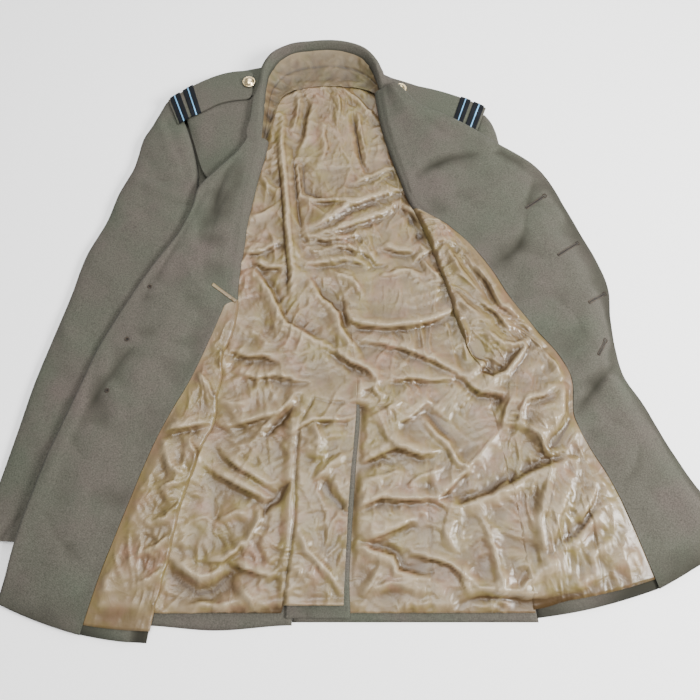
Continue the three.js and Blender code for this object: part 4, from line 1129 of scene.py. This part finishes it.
def crumpled(grid, strength):
    """Adds the satin's shifts to a grid, scaled by `strength`; returns it with its painted shade
    lines.
    """
    x, y = grid[..., 0], grid[..., 1]
    shift = read_field(SATIN_FIELD, SATIN_SIDE, x, y)
    shift[..., 2] += 0.5 * crease_height(CREASES, x, y) + crinkle_height(x, y) - 0.4
    shift *= strength[..., None]
    shift[..., 2] = np.maximum(shift[..., 2] - seam_groove(x, y) * strength, 0)
    return grid + shift, 2.6 * crease_shade(CREASES, x, y) * strength


# %% Back lining
def make_back_lining():
    """Each half runs from the outline to the centre seam; the crumple dies out at its edge."""
    y = np.linspace(BACK_LINING[0][0], BACK_LINING[-1][0], LINING_ROWS)
    v = at_y(BACK_LINING, y)
    left, middle, right = v[:, 1:2], v[:, 2:3], v[:, 3:4]
    base = np.maximum(v[:, 6:7], 0)
    f = columns(LINING_COLUMNS)
    f[0, 1], f[0, -2] = SEWN_RIM, 1 - SEWN_RIM
    yy = y[:, None] * np.ones((1, LINING_COLUMNS))
    x = mix(left, middle, f)
    lift = np.maximum(v[:, 4:5], 0) * (1 - smooth(f * 2.4))
    low = LINING_REST + lift + base * smooth((x + 78) / 14)
    short = 8 * smooth((x + 73) / 3) * smooth((-255 - yy) / 35)
    flat = np.stack([x, yy + short, low], -1)
    grids = {"left": crumpled(flat, smooth((x - left - 2) / 11))}
    vent = smooth((-66 - yy) / 6)
    x = mix(middle - 12 * vent[:, :1], right + 9 - 6 * smooth((-262 - y[:, None]) / 20), f)
    low = LINING_REST + np.maximum(v[:, 5:6], 0) * smooth((f - 1) * 2.4 + 1) - 0.3 * vent
    clear = mix(1.0, smooth((x - middle - 5) / 9), vent)
    rim = mix(smooth((right + 4 - x) / 12), 1.0, laid_flat(yy))
    grids["right"] = crumpled(np.stack([x, yy, low], -1), clear * rim)
    # Each half takes the painted shade lines at the feet of its creases.
    for side, (grid, painted_shade) in grids.items():
        panel(f"back_lining_{side}", grid, SATIN_PANEL, painted_shade=painted_shade)


make_back_lining()

# %% [markdown]
# ## Linings of the fronts
# On each front the satin starts at the facing, crosses to the roll and turns under. It is
# crumpled by the same field as the back lining, so that the creases run on from one to the other.


# %% Front linings
def make_front_lining(side, rows, cols):
    """The path of the front from the seam to the roll, then the half circle and the return.

    On the right the roll fades out below the waist: there the path just comes down on to the
    back lining and spreads on a little. Near the hem it is drawn 5 mm towards the front edge.
    """
    t = np.linspace(0, 0.988 if side == "right" else 0.985, rows)
    r = front_rows(side, t)
    start = r["seam"] + 0.1
    over = np.maximum(start + 2, r["flat"])
    under = np.maximum(over + 2, r["turned"])
    end = np.maximum(under + 3, r["turned"] + FOLD_RETURN)
    s = front_columns(start, over, cols)
    plan = front_point(side, r, s)
    tail = np.concatenate([front_columns(over, under, 11)[:, 1:],
                           front_columns(under, end, 5)[:, 1:]], 1)
    rolled = front_point(side, r, tail)
    grid = np.concatenate([plan, rolled], 1)
    path = np.concatenate([s, tail], 1)
    loose = smooth((path - start) / 14) * smooth((over - start - 6) / 25)
    turned = smooth((path - over) / np.maximum(under - over, 1))
    # Painted shade on the roll: there the fold colours turn over, so its crests take the shade
    # colour of the folds.
    pale = mix(-0.3, 1.0, smooth((over + 1 - path) / 10))   # the roll is in the shade
    if side == "right":
        lies = laid_flat(r["ry"])
        drop = front_drop(r, path) + 1.7 * smooth((path - r["flat"]) / 24)
        flat = grid[:, cols - 1:cols]
        along = np.maximum(path - r["flat"], 0) * 0.25
        spread = np.stack([flat[..., 0] + r["ix"] * along, flat[..., 1] + r["iy"] * along,
                           flat[..., 2] + 0 * along], -1)
        laid = np.where((path > r["flat"])[..., None], spread, grid)
        laid[..., 2] -= drop
        near_hem = smooth((t - 0.9) / 0.088)[:, None]
        laid[..., 1] -= 5 * smooth((path - r["flat"] + 40) / 40) * near_hem
        grid = mix(grid, laid, lies[..., None])
        turned = turned * (1 - lies)
        pale = mix(pale, 1.0, lies)
    # Painted shade lines at the feet of the creases, and the fold colours scaled as above.
    grid, painted_shade = crumpled(grid, loose * (1 - turned))
    panel(f"front_lining_{side}", grid, SATIN_PANEL, pale, painted_shade)


make_front_lining("left", 330, 60)
make_front_lining("right", 330, 110)

# %% [markdown]
# ## Back, vent flap and shoulders
# The outer back lies face down and shows only as a band along the hem. The vent flap is the
# turned edge of its left half, a thin grey strip beside the lining.

# %% Outer back
BACK = [
    [398, -122, -30, 40], [391, -160, -30, 42], [384, -184, -31, 48], [374, -202, -31, 70],
    [363, -216, -31, 106], [350, -228, -32, 146], [334, -225, -33, 166], [310, -225, -34, 157],
    [285, -222, -35, 148], [245, -214, -37, 138], [200, -203, -39, 133], [100, -192, -43, 138],
    [0, -200, -47, 150], [-100, -222, -51, 170], [-200, -238, -56, 184], [-304, -244, -61, 198],
]


BACK_ROWS, BACK_COLUMNS, HALF_GAP = 141, 32, 0.2   # the halves stand apart at the centre seam


def make_back(side):
    """Rows of the outline at its heights, with a soft wave that only lifts the hem."""
    y = np.linspace(BACK[0][0], BACK[-1][0], BACK_ROWS)
    v = at_y(BACK, y)
    if side == "left":
        x = mix(v[:, 1:2], v[:, 2:3] - HALF_GAP, columns(BACK_COLUMNS))
    else:
        x = mix(v[:, 2:3] + HALF_GAP, v[:, 3:4], columns(BACK_COLUMNS))
    yy = y[:, None] * np.ones_like(x)
    hem = smooth((-270 - yy) / 34)
    bow = -5 * smooth(1 - np.abs(x + 140) / 80) if side == "left" else 3.0
    z = CLOTH + hem * 0.35 * (1 + noise(x, yy, 28, 51))
    groove = np.exp(-(((yy + 292) / 1.1) ** 2))
    groove = np.maximum(groove, 1.8 * np.exp(-(((x + 146) / 0.9) ** 2)) * hem)
    grid = np.stack([x, yy + hem**3 * bow, z - 0.3 * groove], -1)
    panel(f"back_{side}", grid, WOOL_PANEL)


make_back("left")
make_back("right")

# %% Vent flap
VENT = [
    [-68, -58, 11], [-90, -58, 11], [-135, -60, 7], [-180, -61, 4], [-215, -62, 1.5],
    [-258, -66, -0.5], [-297, -68, 0.5],
]


VENT_ROWS, VENT_COLUMNS = 110, 32


def make_vent():
    """The flap climbs from the back on to the right lining, and its free edge is rounded."""
    y = np.linspace(VENT[0][0], VENT[-1][0], VENT_ROWS)
    v = at_y(VENT, y)
    x = mix(v[:, 1:2], v[:, 2:3], columns(VENT_COLUMNS))
    yy = y[:, None] * np.ones_like(x)
    z = mix(3.6, 5.4, smooth((x + 46) / 16)) + 0.8 * smooth((x + 30) / 20)
    z = z - rounded(v[:, 2:3] - x, 2.5, 1.2) + 0.25 * noise(x, yy, 22, 61)
    grid = np.stack([x, yy, z], -1)
    panel("vent_flap", grid, WOOL_PANEL)


make_vent()

# %% Shoulders: far x, far y, near x, near y
SHOULDERS = {
    "left": [
        [-229, 350, -213, 306], [-216, 363, -203, 276], [-202, 374, -190, 238],
        [-184, 384, -174, 222], [-164, 391, -158, 220], [-146, 395, -142, 226],
        [-124, 400, -127, 240], [-117, 401, -119, 262],
    ],
    "right": [
        [166, 334, 158, 300], [150, 346, 150, 296], [132, 354, 136, 294], [112, 360, 118, 298],
        [92, 370, 98, 306], [72, 378, 78, 322], [56, 384, 62, 340], [42, 392, 52, 350],
    ],
}


SHOULDER_ROWS, SHOULDER_FLAT, SHOULDER_TURN = 64, 44, 9


def make_shoulder(side):
    """From the turned-down far edge over the padded ridge to the chest."""
    v = catmull(SHOULDERS[side], np.linspace(0, 1, SHOULDER_ROWS))[:, None, :]
    turned_down, over = np.linspace(-2, 0, SHOULDER_TURN)[:-1], np.linspace(0, 1, SHOULDER_FLAT)
    step = np.concatenate([turned_down, over])[None, :]
    f, down = np.maximum(step, 0), np.minimum(step, 0)
    x, y = mix(v[..., 0], v[..., 2], f), mix(v[..., 1], v[..., 3], f)
    z = 18 - 5.5 * smooth((f - 0.25) / 0.75) - 2.5 * (1 - smooth(f / 0.2)) + down * 6.3
    y = y + 1.4 * smooth(-down * 1.2)
    z = z + 0.3 * noise(x, y, 26, 71) * smooth(f / 0.2)
    grid = np.stack([x, y, z], -1)
    panel(f"shoulder_{side}", grid, WOOL_PANEL)


make_shoulder("left")
make_shoulder("right")

# %% [markdown]
# ## Sleeves
# A sleeve is a tube pressed flat. Its ring is a rounded oblong, flat where it lies on the table,
# and its upper side carries the creases that run from the armhole and round the elbow.

# %% Sleeves: outer x, outer y, inner x, inner y, height
SLEEVES = {
    "left": [
        [-244, 350, -233, 338, 15], [-249, 344, -221, 317, 16], [-261, 315, -209, 286, 16],
        [-273, 290, -201, 258, 16], [-278, 262, -197, 234, 16], [-283, 240, -196, 210, 16],
        [-297, 208, -198, 180, 15], [-308, 168, -202, 138, 14], [-328, 120, -207, 94, 14],
        [-340, 66, -215, 44, 13.5], [-355, 8, -225, -12, 13.5], [-368, -44, -240, -64, 13.5],
        [-378, -96, -254, -116, 12], [-389, -150, -268, -168, 10], [-399, -196, -282, -208, 9],
        [-405, -218, -288, -224, 8],
    ],
    "right": [
        [181, 328, 171, 321, 12], [188, 318, 166, 302, 13], [194, 302, 160, 280, 13],
        [198, 282, 154, 258, 12], [208, 250, 150, 230, 10], [226, 214, 150, 196, 7],
        [250, 158, 154, 142, 6], [268, 98, 162, 84, 6], [280, 38, 174, 30, 6],
        [288, -20, 188, -28, 6], [304, -80, 206, -90, 6], [322, -140, 224, -150, 6],
        [332, -168, 238, -176, 5.5], [336, -180, 244, -188, 5],
    ],
}
SLEEVE_FOLDS = {
    "left": [
        [-255, 316, -222, 250, 8, 1.6], [-268, 262, -235, 215, 7, -1.4],
        [-285, 232, -230, 205, 8, 1.8], [-262, 228, -215, 222, 6, -1.6],
        [-300, 190, -255, 150, 9, 1.4], [-315, 110, -262, 60, 9, 1.2],
        [-338, 20, -290, -30, 8, 1.6], [-352, -30, -300, -50, 7, -1.6],
        [-365, -80, -330, -140, 8, 1.2], [-359, -189, -378, -215, 5, -2.0],
        [-243, 313, -226, 268, 5, -1.6], [-226, 268, -209, 229, 5, -1.6],
        [-253, 196, -206, 192, 4, -1.6], [-266, 213, -256, 163, 5, -1.4],
        [-238, 178, -211, 158, 5, 1.3], [-331, -71, -308, -58, 6, -1.8],
        [-318, 150, -270, 118, 10, -1.2], [-345, 40, -318, -40, 9, 1.2],
    ],
    "right": [
        [185, 310, 175, 270, 8, 1.0],
    ],
}


SLEEVE_WALL = 1.2
SLEEVE_ROWS, SLEEVE_RING = 170, 57
HEAD_END = 0.2         # metres: the open end of a sleeve above this y is filled


def make_sleeve(side):
    """Ring angle a: across = sign(cos a)|cos a|^0.8, height = belly + (1 - belly) sin^0.6 a.

    Below the middle the height falls to 0, so the sleeve lies flat on the table.
    """
    v = catmull(SLEEVES[side], np.linspace(0, 1, SLEEVE_ROWS))[:, None, :]
    a = np.linspace(0, 2 * np.pi, SLEEVE_RING)[None, :]
    c, s = np.cos(a), np.sin(a)
    across = 0.5 + 0.5 * np.sign(c) * np.abs(c) ** 0.8
    belly = 0.34
    upper, lower = belly + (1 - belly) * np.abs(s) ** 0.6, belly * np.maximum(0, 1 + 1.7 * s)
    level = np.where(s >= 0, upper, lower)
    x, y = mix(v[..., 0], v[..., 2], across), mix(v[..., 1], v[..., 3], across)
    z = level * v[..., 4]
    if side == "left":   # the head rides over the back
        z = np.maximum(z, 2.2 * smooth((y - 205) / 15) * smooth((x + 240) / 15))
    uneven_cloth = 0.4 * noise(x, y, 30, 81) + 0.2 * noise(x, y, 13, 82)
    z = z + smooth(s * 1.6) * (folds_height(SLEEVE_FOLDS[side], x, y) + uneven_cloth)
    grid = np.stack([x, y, z], -1)
    piece = cloth_mesh(f"sleeve_{side}_wool", grid, WOOL)
    close_up(piece, 0.02, HEAD_END)
    wall(piece, SLEEVE_WALL)
    lay(piece, [f"sleeve_{side}"])


def close_up(piece, distance, above=-1.0):
    """Joins points within `distance` mm, fills open ends above a y in metres, turns faces out."""
    work = bmesh.new()
    work.from_mesh(piece.data)
    bmesh.ops.remove_doubles(work, verts=work.verts, dist=distance * MM)
    rim = [e for e in work.edges if e.is_boundary and min(v.co.y for v in e.verts) > above]
    bmesh.ops.holes_fill(work, edges=rim, sides=0)
    bmesh.ops.recalc_face_normals(work, faces=work.faces)
    work.to_mesh(piece.data)
    work.free()


make_sleeve("left")
make_sleeve("right")

# %% [markdown]
# ## Collar and neck lining
# The collar is a folded strip: it stands up inside the neck, rolls over its rim and falls outside.
# It is drawn as one curve carried round the neck.

# %% Collar: in x, in y, rim x, rim y, out x, out y, in z, rim z, out z
COLLAR = [
    [-117, 258, -121, 260, -125, 262, 18.2, 19.0, 18.4],
    [-115, 285, -124, 286, -135, 288, 21.2, 23.6, 22.6],
    [-114, 310, -122, 311, -131, 313, 20.5, 25, 23.5],
    [-113, 338, -121, 340, -129, 342, 20, 26, 24], [-112, 362, -117, 364, -122, 366, 20, 28, 25],
    [-108, 384, -114, 391, -119, 396, 19, 29, 23], [-96, 404, -104, 412, -110, 418, 19, 30, 4],
    [-78, 417, -82, 426, -84, 433, 19, 30, 3], [-54, 422, -56, 431, -57, 438, 19, 30, 3],
    [-28, 424, -28, 433, -28, 440, 19, 30, 3], [-6, 421, -4, 430, -2, 437, 19, 30, 3],
    [14, 412, 19, 420, 24, 426, 19, 30, 3], [27, 396, 33, 402, 40, 407, 19, 29, 4],
    [33, 381, 38, 386, 44, 390, 19.5, 28, 21.5], [37, 369, 42, 373, 47, 376, 20, 26, 24.5],
    [42, 354, 48, 356, 54, 358, 18, 22, 21],
]


COLLAR_ROWS, COLLAR_COLUMNS = 150, 40


def make_collar():
    """Across the strip: a quarter sine up to the rim, then a quarter cosine down outside."""
    v = catmull(COLLAR, np.linspace(0, 1, COLLAR_ROWS))[:, None, :]
    f = np.linspace(0, 2, COLLAR_COLUMNS)[None, :]
    up, out = np.sin(np.pi / 2 * np.minimum(f, 1)), np.maximum(f - 1, 0) * np.pi / 2
    flat = np.minimum(f, 1)
    x = mix(v[..., 0], v[..., 2], flat) + (v[..., 4] - v[..., 2]) * np.sin(out)
    y = mix(v[..., 1], v[..., 3], flat) + (v[..., 5] - v[..., 3]) * np.sin(out)
    z = mix(v[..., 6], v[..., 7], up) + (v[..., 8] - v[..., 7]) * (1 - np.cos(out))
    z = z + 0.4 * noise(x, y, 22, 91)
    grid = np.stack([x, y, z], -1)
    panel("collar", grid, WOOL_PANEL)


make_collar()

# %% Neck lining: top x, top y, top z, low x, low y, low z
NECK = [
    [-124, 246, 17, -122, 248, 10], [-118, 275, 20, -111, 279, 12],
    [-116, 300, 21.5, -104, 306, 12], [-116, 326, 21.5, -100, 328, 9],
    [-116, 350, 21.5, -96, 347, 7], [-115, 370, 22, -90, 360, 6], [-111, 388, 22, -80, 367, 5.6],
    [-100, 406, 22, -68, 371, 5.6], [-80, 419, 22, -54, 374, 5.6], [-55, 425, 22, -40, 375, 5.6],
    [-28, 427, 22, -26, 375, 5.6], [-5, 424, 22, -12, 375, 5.6], [15, 415, 22, 2, 374, 5.6],
    [30, 399, 22, 16, 371, 6], [37, 384, 22, 28, 366, 8], [42, 372, 21.5, 36, 360, 10],
    [47, 358, 18, 40, 348, 12],
]


NECK_ROWS, NECK_COLUMNS = 160, 42


def make_neck_lining():
    """From under the collar's rim down on to the back lining, a hollow curve with small creases."""
    v = catmull(NECK, np.linspace(0, 1, NECK_ROWS))[:, None, :]
    f = columns(NECK_COLUMNS)
    x, y = mix(v[..., 0], v[..., 3], f), mix(v[..., 1], v[..., 4], f)
    z = mix(v[..., 2], v[..., 5], 1 - (1 - f) ** 2)
    free = smooth(f / 0.2)
    z = z + free * (0.8 + 1.0 * noise(x, y, 16, 95) + 0.6 * np.abs(noise(x, y, 9, 96)))
    band = np.exp(-(((f - 0.42) / 0.03) ** 2))
    grid = np.stack([x, y, z - 0.8 * band], -1)
    grid[..., 2] += read_field(SATIN_FIELD, SATIN_SIDE, x, y)[..., 2] * smooth((f - 0.6) / 0.4)
    grid[..., 2] += 0.6 * free * crinkle_height(x * 1.2, y * 1.2)
    # Painted shade: the left end beside the collar and the groove of the band are made darker, and
    # the fold colours are scaled by 1.5.
    shaded_left_end = smooth((345 - y) / 50) * smooth((-80 - x) / 20)
    painted_shade = 1.8 * shaded_left_end + 0.7 * band
    panel("neck_lining", grid, STAINED_AND_SHADED_PANEL, 1.5, painted_shade)


make_neck_lining()

# %% [markdown]
# ## Shoulder straps, braid and buttons
# The strap is a stiff double tongue of the same wool. Two bands of ribbed braid with a pale line
# along the middle are slipped over it, and a domed gilt button holds its end by the collar.

# %% Straps: far x, far y, near x, near y, far z, near z
STRAPS = {
    "left": [
        [-243, 345, -227, 307, 18, 17.5], [-226, 357, -211, 317, 19, 19.2],
        [-207, 370, -193, 326, 19.6, 20], [-184, 382, -174, 337, 20, 20.2],
        [-163, 389, -156, 342, 20.2, 20.2], [-143, 391, -136, 345, 20.3, 20.2],
        [-131, 386, -130, 352, 20.4, 20.3],
    ],
    "right": [
        [181, 333, 167, 297, 17.5, 17.2], [163, 342, 149, 304, 18.8, 19],
        [144, 350, 132, 313, 19.6, 19.8], [122, 358, 114, 322, 20, 20],
        [101, 364, 97, 330, 20.2, 20], [81, 368, 79, 338, 20.3, 20.2],
        [61, 366, 64, 345, 20.3, 20.2],
    ],
}
STRAP_LIFT = 0.6
STRAP_ROWS, STRAP_COLUMNS = 110, 40
STRAP_LONG, STRAP_WIDE = 110, 46   # for distances from the edge


def strap_point(side, t, w, up=0.0):
    """Point of a strap: t along it, w across it; its crown is 0.9(1 - (2w - 1)^4) high."""
    v = catmull(STRAPS[side], t)
    x, y = mix(v[..., 0], v[..., 2], w), mix(v[..., 1], v[..., 3], w)
    z = mix(v[..., 4], v[..., 5], w) + STRAP_LIFT + 0.9 * (1 - np.abs(2 * w - 1) ** 4) + up
    return np.stack([x, y, z], -1)


def make_strap(side):
    """The tongue with rounded edges and, 4.5 mm in, a shallow stitched groove."""
    t, w = np.meshgrid(np.linspace(0, 1, STRAP_ROWS), np.linspace(0, 1, STRAP_COLUMNS),
                       indexing="ij")
    grid = strap_point(side, t, w)
    rim = np.minimum(np.minimum(w, 1 - w) * STRAP_WIDE, np.minimum(t, 1 - t) * STRAP_LONG)
    groove = 0.25 * np.exp(-(((rim - 4.5) / 0.9) ** 2))
    grid[..., 2] -= rounded(rim, 2.2, 0.9) + groove
    panel(f"strap_{side}", grid, WOOL_PANEL)


make_strap("left")
make_strap("right")


# %% Braid
def make_braid_material(name, color):
    """Ribbed braid: fine ribs along the piece's own length, nearly black or pale blue."""
    material, tree, shader = new_material(name, color, 0.8)
    uv = node(tree, "ShaderNodeUVMap", uv_map="cloth").outputs[0]
    along = node(tree, "ShaderNodeSeparateXYZ", {0: uv}).outputs[0]
    wave = sums(tree, "SINE", sums(tree, "MULTIPLY", along, 5200.0))
    lighter = tuple(min(1.0, c * 1.6 + 0.002) for c in color)
    tone = uneven(tree, color, lighter, color, 60.0, 900.0, 0.5)
    tree.links.new(tone, shader.inputs["Base Color"])
    tree.links.new(raised(tree, wave, 0.5, 0.0004), shader.inputs["Normal"])
    shader.inputs["Specular IOR Level"].default_value = 0.2
    return material


NAVY = make_braid_material("navy_braid", srgb(6, 9, 15))
PALE_BLUE = make_braid_material("pale_blue_line", srgb(100, 148, 184))
BAND_PLACES = {"outer": (0.035, 0.15), "inner": (0.185, 0.3)}   # shares of the strap
BAND_LIFT = 1.3        # of a band over its strap
HALF_LINE = 0.0062     # half the pale line, as a share of the strap


def make_band(side, which):
    """A band over the strap: it follows its crown BAND_LIFT up and turns down at both edges."""
    t0, t1 = BAND_PLACES[which]
    w_line = np.concatenate([[-0.02, -0.012], np.linspace(0, 1, 60), [1.012, 1.02]])
    drop = np.concatenate([[-1.9, -0.6], np.zeros(60), [-0.6, -1.9]])
    t, w = np.meshgrid(np.linspace(t0, t1, 26), w_line, indexing="ij")
    grid = strap_point(side, t, np.clip(w, 0, 1), BAND_LIFT)
    across = strap_point(side, t, np.ones_like(w)) - strap_point(side, t, np.zeros_like(w))
    grid[..., :2] += across[..., :2] * (w - np.clip(w, 0, 1))[..., None]
    grid[..., 2] += drop[None, :]
    edge = np.minimum(t - t0, t1 - t) / (t1 - t0)
    grid[..., 2] -= rounded(edge, 0.1, 0.5)
    band = wall(cloth_mesh(f"braid_{which}_{side}_band", grid, NAVY), 1.0)
    middle = (t0 + t1) / 2
    t_line = np.linspace(middle - HALF_LINE, middle + HALF_LINE, 8)
    t, w = np.meshgrid(t_line, w_line, indexing="ij")
    line = strap_point(side, t, np.clip(w, 0, 1), BAND_LIFT)
    line[..., :2] += across[:1, :, :2] * (w - np.clip(w, 0, 1))[..., None]
    line[..., 2] += drop[None, :] + 0.35 * np.sin(np.pi * np.linspace(0, 1, 8))[:, None] + 0.12
    stripe = cloth_mesh(f"braid_{which}_{side}_line", line, PALE_BLUE)
    fit(stripe, [])
    lay(band, [f"braid_{which}_{side}"])


for side in ("left", "right"):
    for which in ("outer", "inner"):
        make_band(side, which)


# %% Gilt buttons
def make_gilt():
    """Polished gilt with faint wear that roughens and dents it."""
    material, tree, shader = new_material("gilt", srgb(226, 205, 160), 0.18)
    shader.inputs["Metallic"].default_value = 1.0
    wear = grain(tree, place_of(tree), 420.0, 3)
    tree.links.new(ramp(tree, wear, 0.3, 0.7, 0.12, 0.32), shader.inputs["Roughness"])
    tree.links.new(raised(tree, wear, 0.25, 0.0006), shader.inputs["Normal"])
    return material


GILT = make_gilt()
BUTTONS = {"left": (-135.5, 370, 22.4), "right": (67, 359, 22.4)}
BUTTON_PROFILE = [
    [0.02, 0], [4, 0], [7.6, 0.1], [8.3, 0.6], [8.5, 1.3], [8.3, 1.9], [7.6, 2.1], [7.3, 2.0],
    [6.9, 2.4], [6.2, 3.3], [5.0, 4.3], [3.4, 5.1], [1.7, 5.5], [0.02, 5.6],
]


def make_button(side):
    """The profile (radius, height) turned once round the button's axis."""
    x0, y0, z0 = BUTTONS[side]
    profile = catmull(BUTTON_PROFILE, np.linspace(0, 1, 60))
    a = np.linspace(0, 2 * np.pi, 65)[:, None]
    r, h = profile[None, :, 0], profile[None, :, 1]
    grid = np.stack([x0 + r * np.cos(a), y0 + r * np.sin(a), z0 + h + 0 * a], -1)
    piece = cloth_mesh(f"button_{side}_dome", grid, GILT)
    close_up(piece, 0.05)
    fit(piece, [f"button_{side}"])


make_button("left")
make_button("right")

# %% [markdown]
# ## Buttonholes and eyelets
# A worked buttonhole is a slit whose edge is wrapped in close stitches, with a round end towards
# the edge of the front. It is a thin tube led round a keyhole path on the cloth.

# %% Stitched thread
def make_thread(name, roughness, cloud_size, base, warm, cool):
    """Matt thread of an uneven colour."""
    material, tree, shader = new_material(name, base, roughness)
    tone = uneven(tree, base, warm, cool, cloud_size, 2400.0, 0.8)
    tree.links.new(tone, shader.inputs["Base Color"])
    return material


THREAD = make_thread("worked_thread", 0.8, 300.0, srgb(50, 42, 34), srgb(66, 54, 40),
                     srgb(38, 33, 28))
# Painted shadow for the open slits and holes.
SLIT_SHADOW = make_thread("slit_shadow", 0.9, 400.0, srgb(24, 21, 18), srgb(34, 28, 22), srgb(16, 15, 14))


def stitched_path(name, path, grid, radius, stitches):
    """A tube round a closed path lying on a grid; its radius ripples once for each stitch."""
    count = 26 * len(path)
    closed = np.array([*path, path[0], path[1], path[2]], float)
    t = np.linspace(1, len(path) + 1, count) / (len(closed) - 1)
    centre = catmull(closed, t)
    ahead = np.roll(centre, -1, 0) - centre
    ahead[-1] = ahead[0]
    ahead /= np.linalg.norm(ahead, axis=1, keepdims=True) + 1e-9
    side = np.stack([-ahead[:, 1], ahead[:, 0]], 1)
    z = height_on(grid, centre[:, 0], centre[:, 1])
    z = np.convolve(np.concatenate([z[-9:], z, z[:9]]), np.ones(19) / 19, "valid")
    a = np.linspace(0, 2 * np.pi, 8)[None, :]
    r = radius * (1 + 0.28 * np.sin(np.linspace(0, 2 * np.pi * stitches, count)))[:, None]
    x = centre[:, 0:1] + side[:, 0:1] * r * np.cos(a)
    y = centre[:, 1:2] + side[:, 1:2] * r * np.cos(a)
    return cloth_mesh(name, np.stack([x, y, z[:, None] + 0.15 + r * np.sin(a) * 0.8], -1), THREAD)


def shadow_patch(name, grid, x, y, lift):
    """A sheet of painted shadow on a grid, `lift` above it, where the open slit or hole inside the
    stitches lies in shade.
    """
    patch = cloth_mesh(name, np.stack([x, y, height_on(grid, x, y) + lift], -1), SLIT_SHADOW)
    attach(patch, "root")


def keyhole(x0, y0, x1, y1, wide):
    """Closed path: round end at (x0, y0), straight sides to (x1, y1)."""
    dx, dy = x1 - x0, y1 - y0
    size = math.hypot(dx, dy)
    ux, uy, vx, vy = dx / size, dy / size, -dy / size, dx / size
    half = [(-2.2, 0), (-1.2, 2.0), (1.2, 2.1), (3.4, wide), (size * 0.4, wide),
            (size * 0.7, wide), (size - 0.5, wide), (size, 0)]
    back = [(a, -b) for a, b in half[-2:0:-1]]
    return [(x0 + a * ux + b * vx, y0 + a * uy + b * vy) for a, b in half + back]


# x, y of the round end and x, y of the straight end; the fourth is faint and has no CAD node
HOLES = [(248, 202, 222, 183), (285, 138, 256, 117), (311, 70, 286, 54), (302, 8, 290, -11)]
CAD_HOLES = 3
SLIT_HALF = 1.4        # half width of the straight part
THREAD_RADIUS, EYELET_THREAD, EYELET_RADIUS = 0.65, 0.75, 2.1
HOLE_STITCHES, EYELET_STITCHES = 60, 26
for k, (x0, y0, x1, y1) in enumerate(HOLES, 1):
    path = keyhole(x0, y0, x1, y1, SLIT_HALF)
    piece = stitched_path(f"buttonhole_{k}_thread", path, facing_right, THREAD_RADIUS,
                          HOLE_STITCHES)
    fit(piece, [f"buttonhole_{k}"] if k <= CAD_HOLES else [])
    line_x, line_y = np.linspace(x0, x1, 30)[:, None], np.linspace(y0, y1, 30)[:, None]
    off = np.array([[-0.5, 0.5]])
    ux, uy = (x1 - x0) / 33, (y1 - y0) / 33
    shadow_patch(f"buttonhole_{k}_slit", facing_right, line_x - off * uy, line_y + off * ux, 0.45)

for k, (x0, y0) in enumerate(EYELETS, 1):
    angles = np.linspace(0, 2 * np.pi, 9)[:-1]
    ring = [(x0 + EYELET_RADIUS * math.cos(a), y0 + EYELET_RADIUS * math.sin(a)) for a in angles]
    piece = stitched_path(f"eyelet_{k}_thread", ring, facing_left, EYELET_THREAD, EYELET_STITCHES)
    fit(piece, [])
    a, r = np.meshgrid(np.linspace(0, 2 * np.pi, 20), [0.05, 1.7], indexing="ij")
    shadow_patch(f"eyelet_{k}_hole", facing_left, x0 + r * np.cos(a), y0 + r * np.sin(a), 0.3)


# %% [markdown]
# ## Table
# A plain pale surface a little wider than the view.

# %% Table
TABLE = new_material("pale_table", (0.97, 0.97, 0.97), 0.9)[0]
x, y = np.meshgrid([-3000, 3000], [-3000, 3000])
table = cloth_mesh("table", np.stack([x, y, np.full_like(x, -0.4)], -1).astype(float), TABLE)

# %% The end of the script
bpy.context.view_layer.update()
